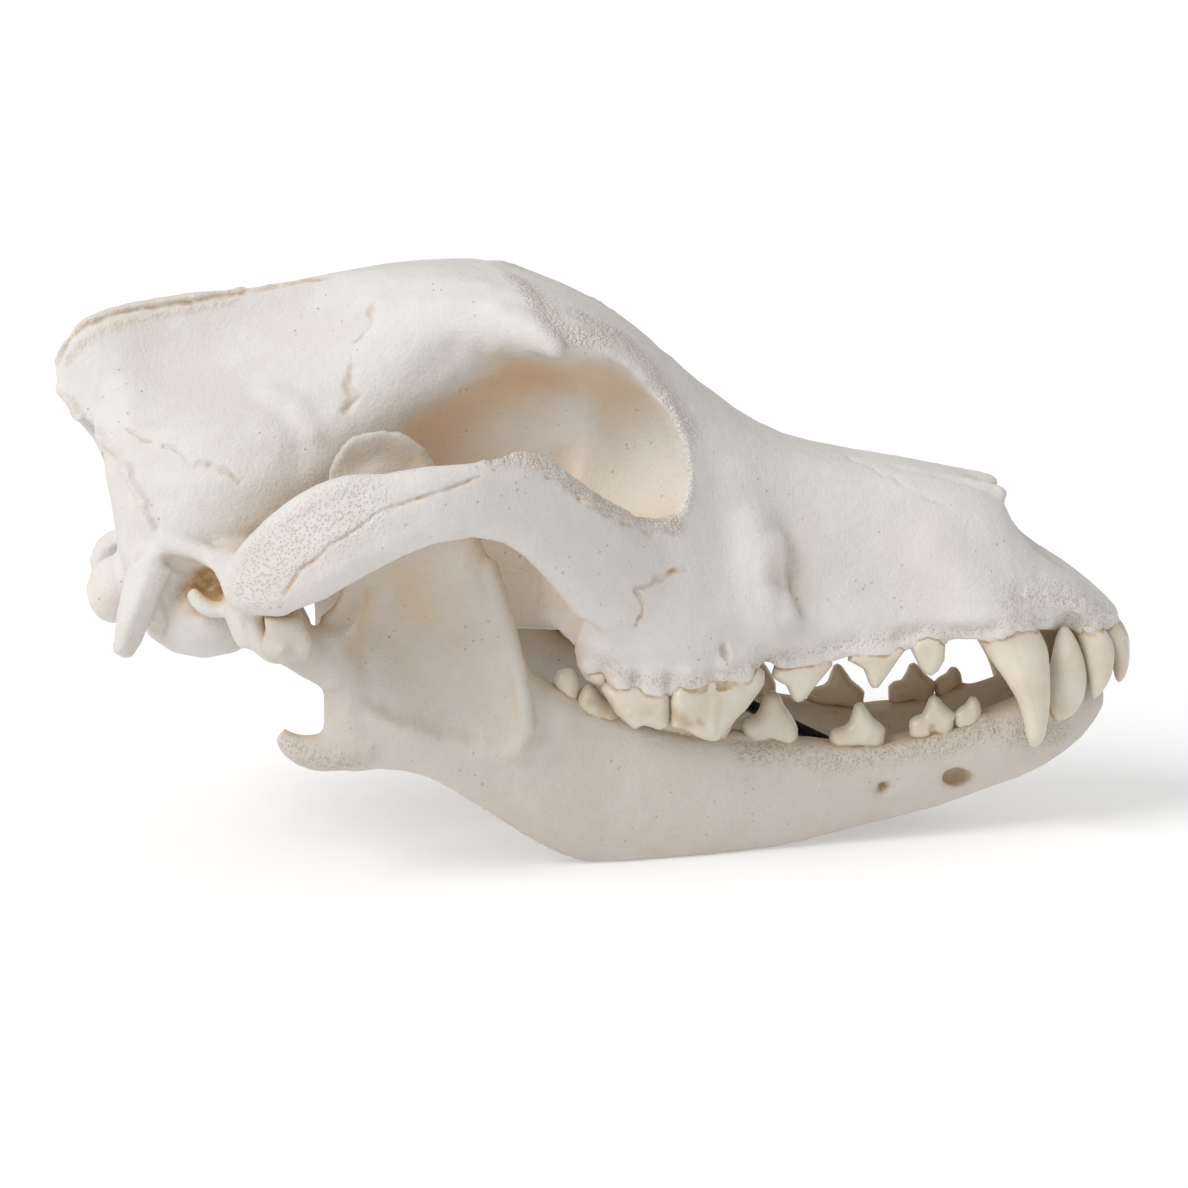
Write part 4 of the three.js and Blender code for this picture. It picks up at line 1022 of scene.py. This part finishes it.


# The warm and tan tones are painted shade for hollows and shade-tinted places, the tan with some stain
boneFinish = {
    "skullBone": {"ivory": (0.645, 0.614, 0.572), "chalk": (0.70, 0.68, 0.65), "warm": (0.63, 0.565, 0.485),
                  "tan": (0.66, 0.49, 0.335)},
    # the jaw bone is a darker, warmer copy of the skull bone: painted shade for the jaws' less lit surfaces
    "jawBoneShaded": {"ivory": (0.56, 0.51, 0.45), "chalk": (0.60, 0.56, 0.50), "warm": (0.57, 0.48, 0.38),
                "tan": (0.60, 0.465, 0.33)},
    "ochre": (0.47, 0.30, 0.135),
    "roughness": 0.6,
    "specular": 0.3,
    # how much of the ochre shows in the creases of porous bone, in its pores and in its scattered pits
    "creaseTint": 0.25, "poreTint": 0.11, "pitTint": 0.2,
    # cells for each metre
    "creaseCells": 1350.0, "poreCells": 1500.0, "pitCells": 640.0,
    "skinBump": 0.8, "creaseBump": 0.7, "bumpDepth": 0.0005,
}


def makeBoneFinish(name):
    s = Shader(name)
    tones = boneFinish[name]
    mottle = s.noise(38, 5, 0.55) * 0.7 + s.noise(240, 3, 0.6) * 0.3
    colour = s.blend(s.ramp(mottle, 0.38, 0.64), tones["ivory"], tones["chalk"])
    # painted shade: bone that other bone shuts in turns warmer, and with the shade tint tan
    shut = s.attribute("hollow") + (s.noise(70) - 0.5) * 0.16
    colour = s.blend(s.ramp(shut, 0.08, 0.5) * 0.85, colour, tones["warm"])
    colour = s.blend(s.ramp(shut + s.attribute("shade") * 0.6, 0.34, 0.95), colour, tones["tan"])
    colour = s.blend(s.attribute("ochre") * s.ramp(s.noise(420, 3), 0.3, 0.62), colour, boneFinish["ochre"])
    creases = s.ramp(s.cells(boneFinish["creaseCells"]), 0.3, 0.75) * s.attribute("porous")
    colour = s.blend(creases * boneFinish["creaseTint"], colour, boneFinish["ochre"])
    pores = s.ramp(s.cells(boneFinish["poreCells"]), 0.5, 0.18) * s.attribute("pitted")
    colour = s.blend(pores * boneFinish["poreTint"], colour, boneFinish["ochre"])
    chance = s.cells(boneFinish["pitCells"], "Color")
    chosen = s.node('ShaderNodeSeparateColor', {}, {"Color": chance}, output=0)
    width = s.node('ShaderNodeSeparateColor', {}, {"Color": chance}, output=1)
    pits = s.ramp(s.cells(boneFinish["pitCells"]) - width * 0.1, 0.12, 0.0)
    pits = pits * s.ramp(chosen, 0.66, 0.72) * s.ramp(s.noise(60, 3), 0.45, 0.6)
    colour = s.blend(pits * boneFinish["pitTint"], colour, boneFinish["ochre"])
    s.feed("Base Color", colour)
    s.feed("Roughness", boneFinish["roughness"])
    s.feed("Specular IOR Level", boneFinish["specular"])
    fine = s.noise(1500, 3, 0.6) * 0.4 + s.noise(520, 3, 0.55) * 0.5 - pits * 0.7 - pores * 0.45
    skin = s.bump(fine, boneFinish["skinBump"], boneFinish["bumpDepth"])
    s.feed("Normal", s.bump(creases * -1.0, boneFinish["creaseBump"], boneFinish["bumpDepth"], skin))
    return s.material


enamelFinish = {"ivory": (0.63, 0.55, 0.44), "pale": (0.69, 0.63, 0.535), "neck": (0.36, 0.215, 0.09),
                "tongue": (0.60, 0.43, 0.26), "roughness": 0.24, "bump": 0.12, "bumpDepth": 0.0004}


def makeEnamelFinish():
    s = Shader("toothEnamel")
    cloud = s.ramp(s.noise(160, 3), 0.35, 0.7)
    colour = s.blend(cloud, enamelFinish["ivory"], enamelFinish["pale"])
    # painted shade: browner enamel on the tongue side
    colour = s.blend(s.attribute("tongue") * 0.6, colour, enamelFinish["tongue"])
    gum = s.ramp(s.attribute("neck"), 0.15, 0.9) * s.ramp(s.noise(300, 3), 0.3, 0.6)
    colour = s.blend(gum * 0.8, colour, enamelFinish["neck"])
    stain = s.attribute("ochre") * s.ramp(s.noise(260, 3), 0.25, 0.7)
    colour = s.blend(stain, colour, enamelFinish["neck"])
    s.feed("Base Color", colour)
    s.feed("Roughness", gum * 0.3 + enamelFinish["roughness"])
    s.feed("Normal", s.bump(s.noise(700, 3), enamelFinish["bump"], enamelFinish["bumpDepth"]))
    return s.material


wireFinish = {"black": (0.012, 0.011, 0.010), "worn": (0.06, 0.052, 0.045), "metallic": 0.7,
              "roughness": 0.35}


def makeWireFinish():
    s = Shader("darkWire")
    worn = s.ramp(s.noise(900, 3, 0.6), 0.45, 0.75)
    s.feed("Base Color", s.blend(worn, wireFinish["black"], wireFinish["worn"]))
    s.feed("Metallic", wireFinish["metallic"])
    s.feed("Roughness", worn * 0.25 + wireFinish["roughness"])
    return s.material


skullBone = makeBoneFinish("skullBone")
# the jaws' finish paints shade: a darker copy of the skull's
jawBoneShaded = makeBoneFinish("jawBoneShaded")
enamel = makeEnamelFinish()
wire = makeWireFinish()


def finishPiece(piece, finish, slotName, *nodeNames):
    pick(piece)
    bpy.ops.object.shade_smooth()
    piece.data.materials.clear()
    piece.data.materials.append(finish)
    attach(piece, "root")
    if nodeNames:
        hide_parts(*nodeNames)


finishPiece(cranium, skullBone, "bone",
            "skull_cap", "skull_base", "muzzle", "zygomatic_right", "zygomatic_left")
for side in ("right", "left"):
    finishPiece(jaws[side], jawBoneShaded, "bone", "mandible_" + side)
for piece in teeth.values():
    finishPiece(piece, enamel, "bone")
finishPiece(spring, wire, "spring", "jaw_spring")


# Floor, light and camera
stageSettings = {"floor": 8, "floorTones": ((0.70, 0.70, 0.70), (0.72, 0.72, 0.72)), "floorRoughness": 0.9,
                 "floorGlow": 0.33, "sun": 1.95, "sunAngle": 36, "towardSun": (-0.64, -0.38, 0.67),
                 "sky": 0.59, "white": (1, 1, 1, 1)}


def makeStage():
    bpy.ops.object.select_all(action='DESELECT')
    bpy.ops.mesh.primitive_plane_add(size=stageSettings["floor"])
    floor = bpy.context.active_object
    floor.name = "floor"
    s = Shader("paleFloor")
    s.feed("Base Color", s.blend(s.noise(3, 2), *stageSettings["floorTones"]))
    s.feed("Roughness", stageSettings["floorRoughness"])
    s.feed("Specular IOR Level", 0)
    s.feed("Emission Color", stageSettings["white"])
    s.feed("Emission Strength", stageSettings["floorGlow"])
    floor.data.materials.append(s.material)
    bpy.ops.object.light_add(type='SUN', location=(0, 0, 1))
    sun = bpy.context.active_object
    sun.data.energy = stageSettings["sun"]
    sun.data.angle = math.radians(stageSettings["sunAngle"])
    sun.rotation_euler = Vector(stageSettings["towardSun"]).to_track_quat('Z', 'Y').to_euler()
    world = bpy.data.worlds.new("studio")
    world.use_nodes = True
    sky = world.node_tree.nodes["Background"]
    sky.inputs["Color"].default_value = stageSettings["white"]
    sky.inputs["Strength"].default_value = stageSettings["sky"]
    bpy.context.scene.world = world
    bpy.context.scene.view_settings.view_transform = 'Standard'


def makeCamera():
    right, ahead, up = viewAxes()
    place = Vector(viewSettings["target"]) - ahead * viewSettings["distance"]
    bpy.ops.object.camera_add(location=place * mm)
    camera = bpy.context.active_object
    camera.rotation_euler = ahead.to_track_quat('-Z', 'Y').to_euler()
    camera.data.sensor_width = viewSettings["sensor"]
    camera.data.lens = viewSettings["sensor"] * viewSettings["focal"] / viewSettings["frame"]
    camera.data.clip_start = 0.01
    bpy.context.scene.camera = camera


makeStage()
makeCamera()
print("stage")
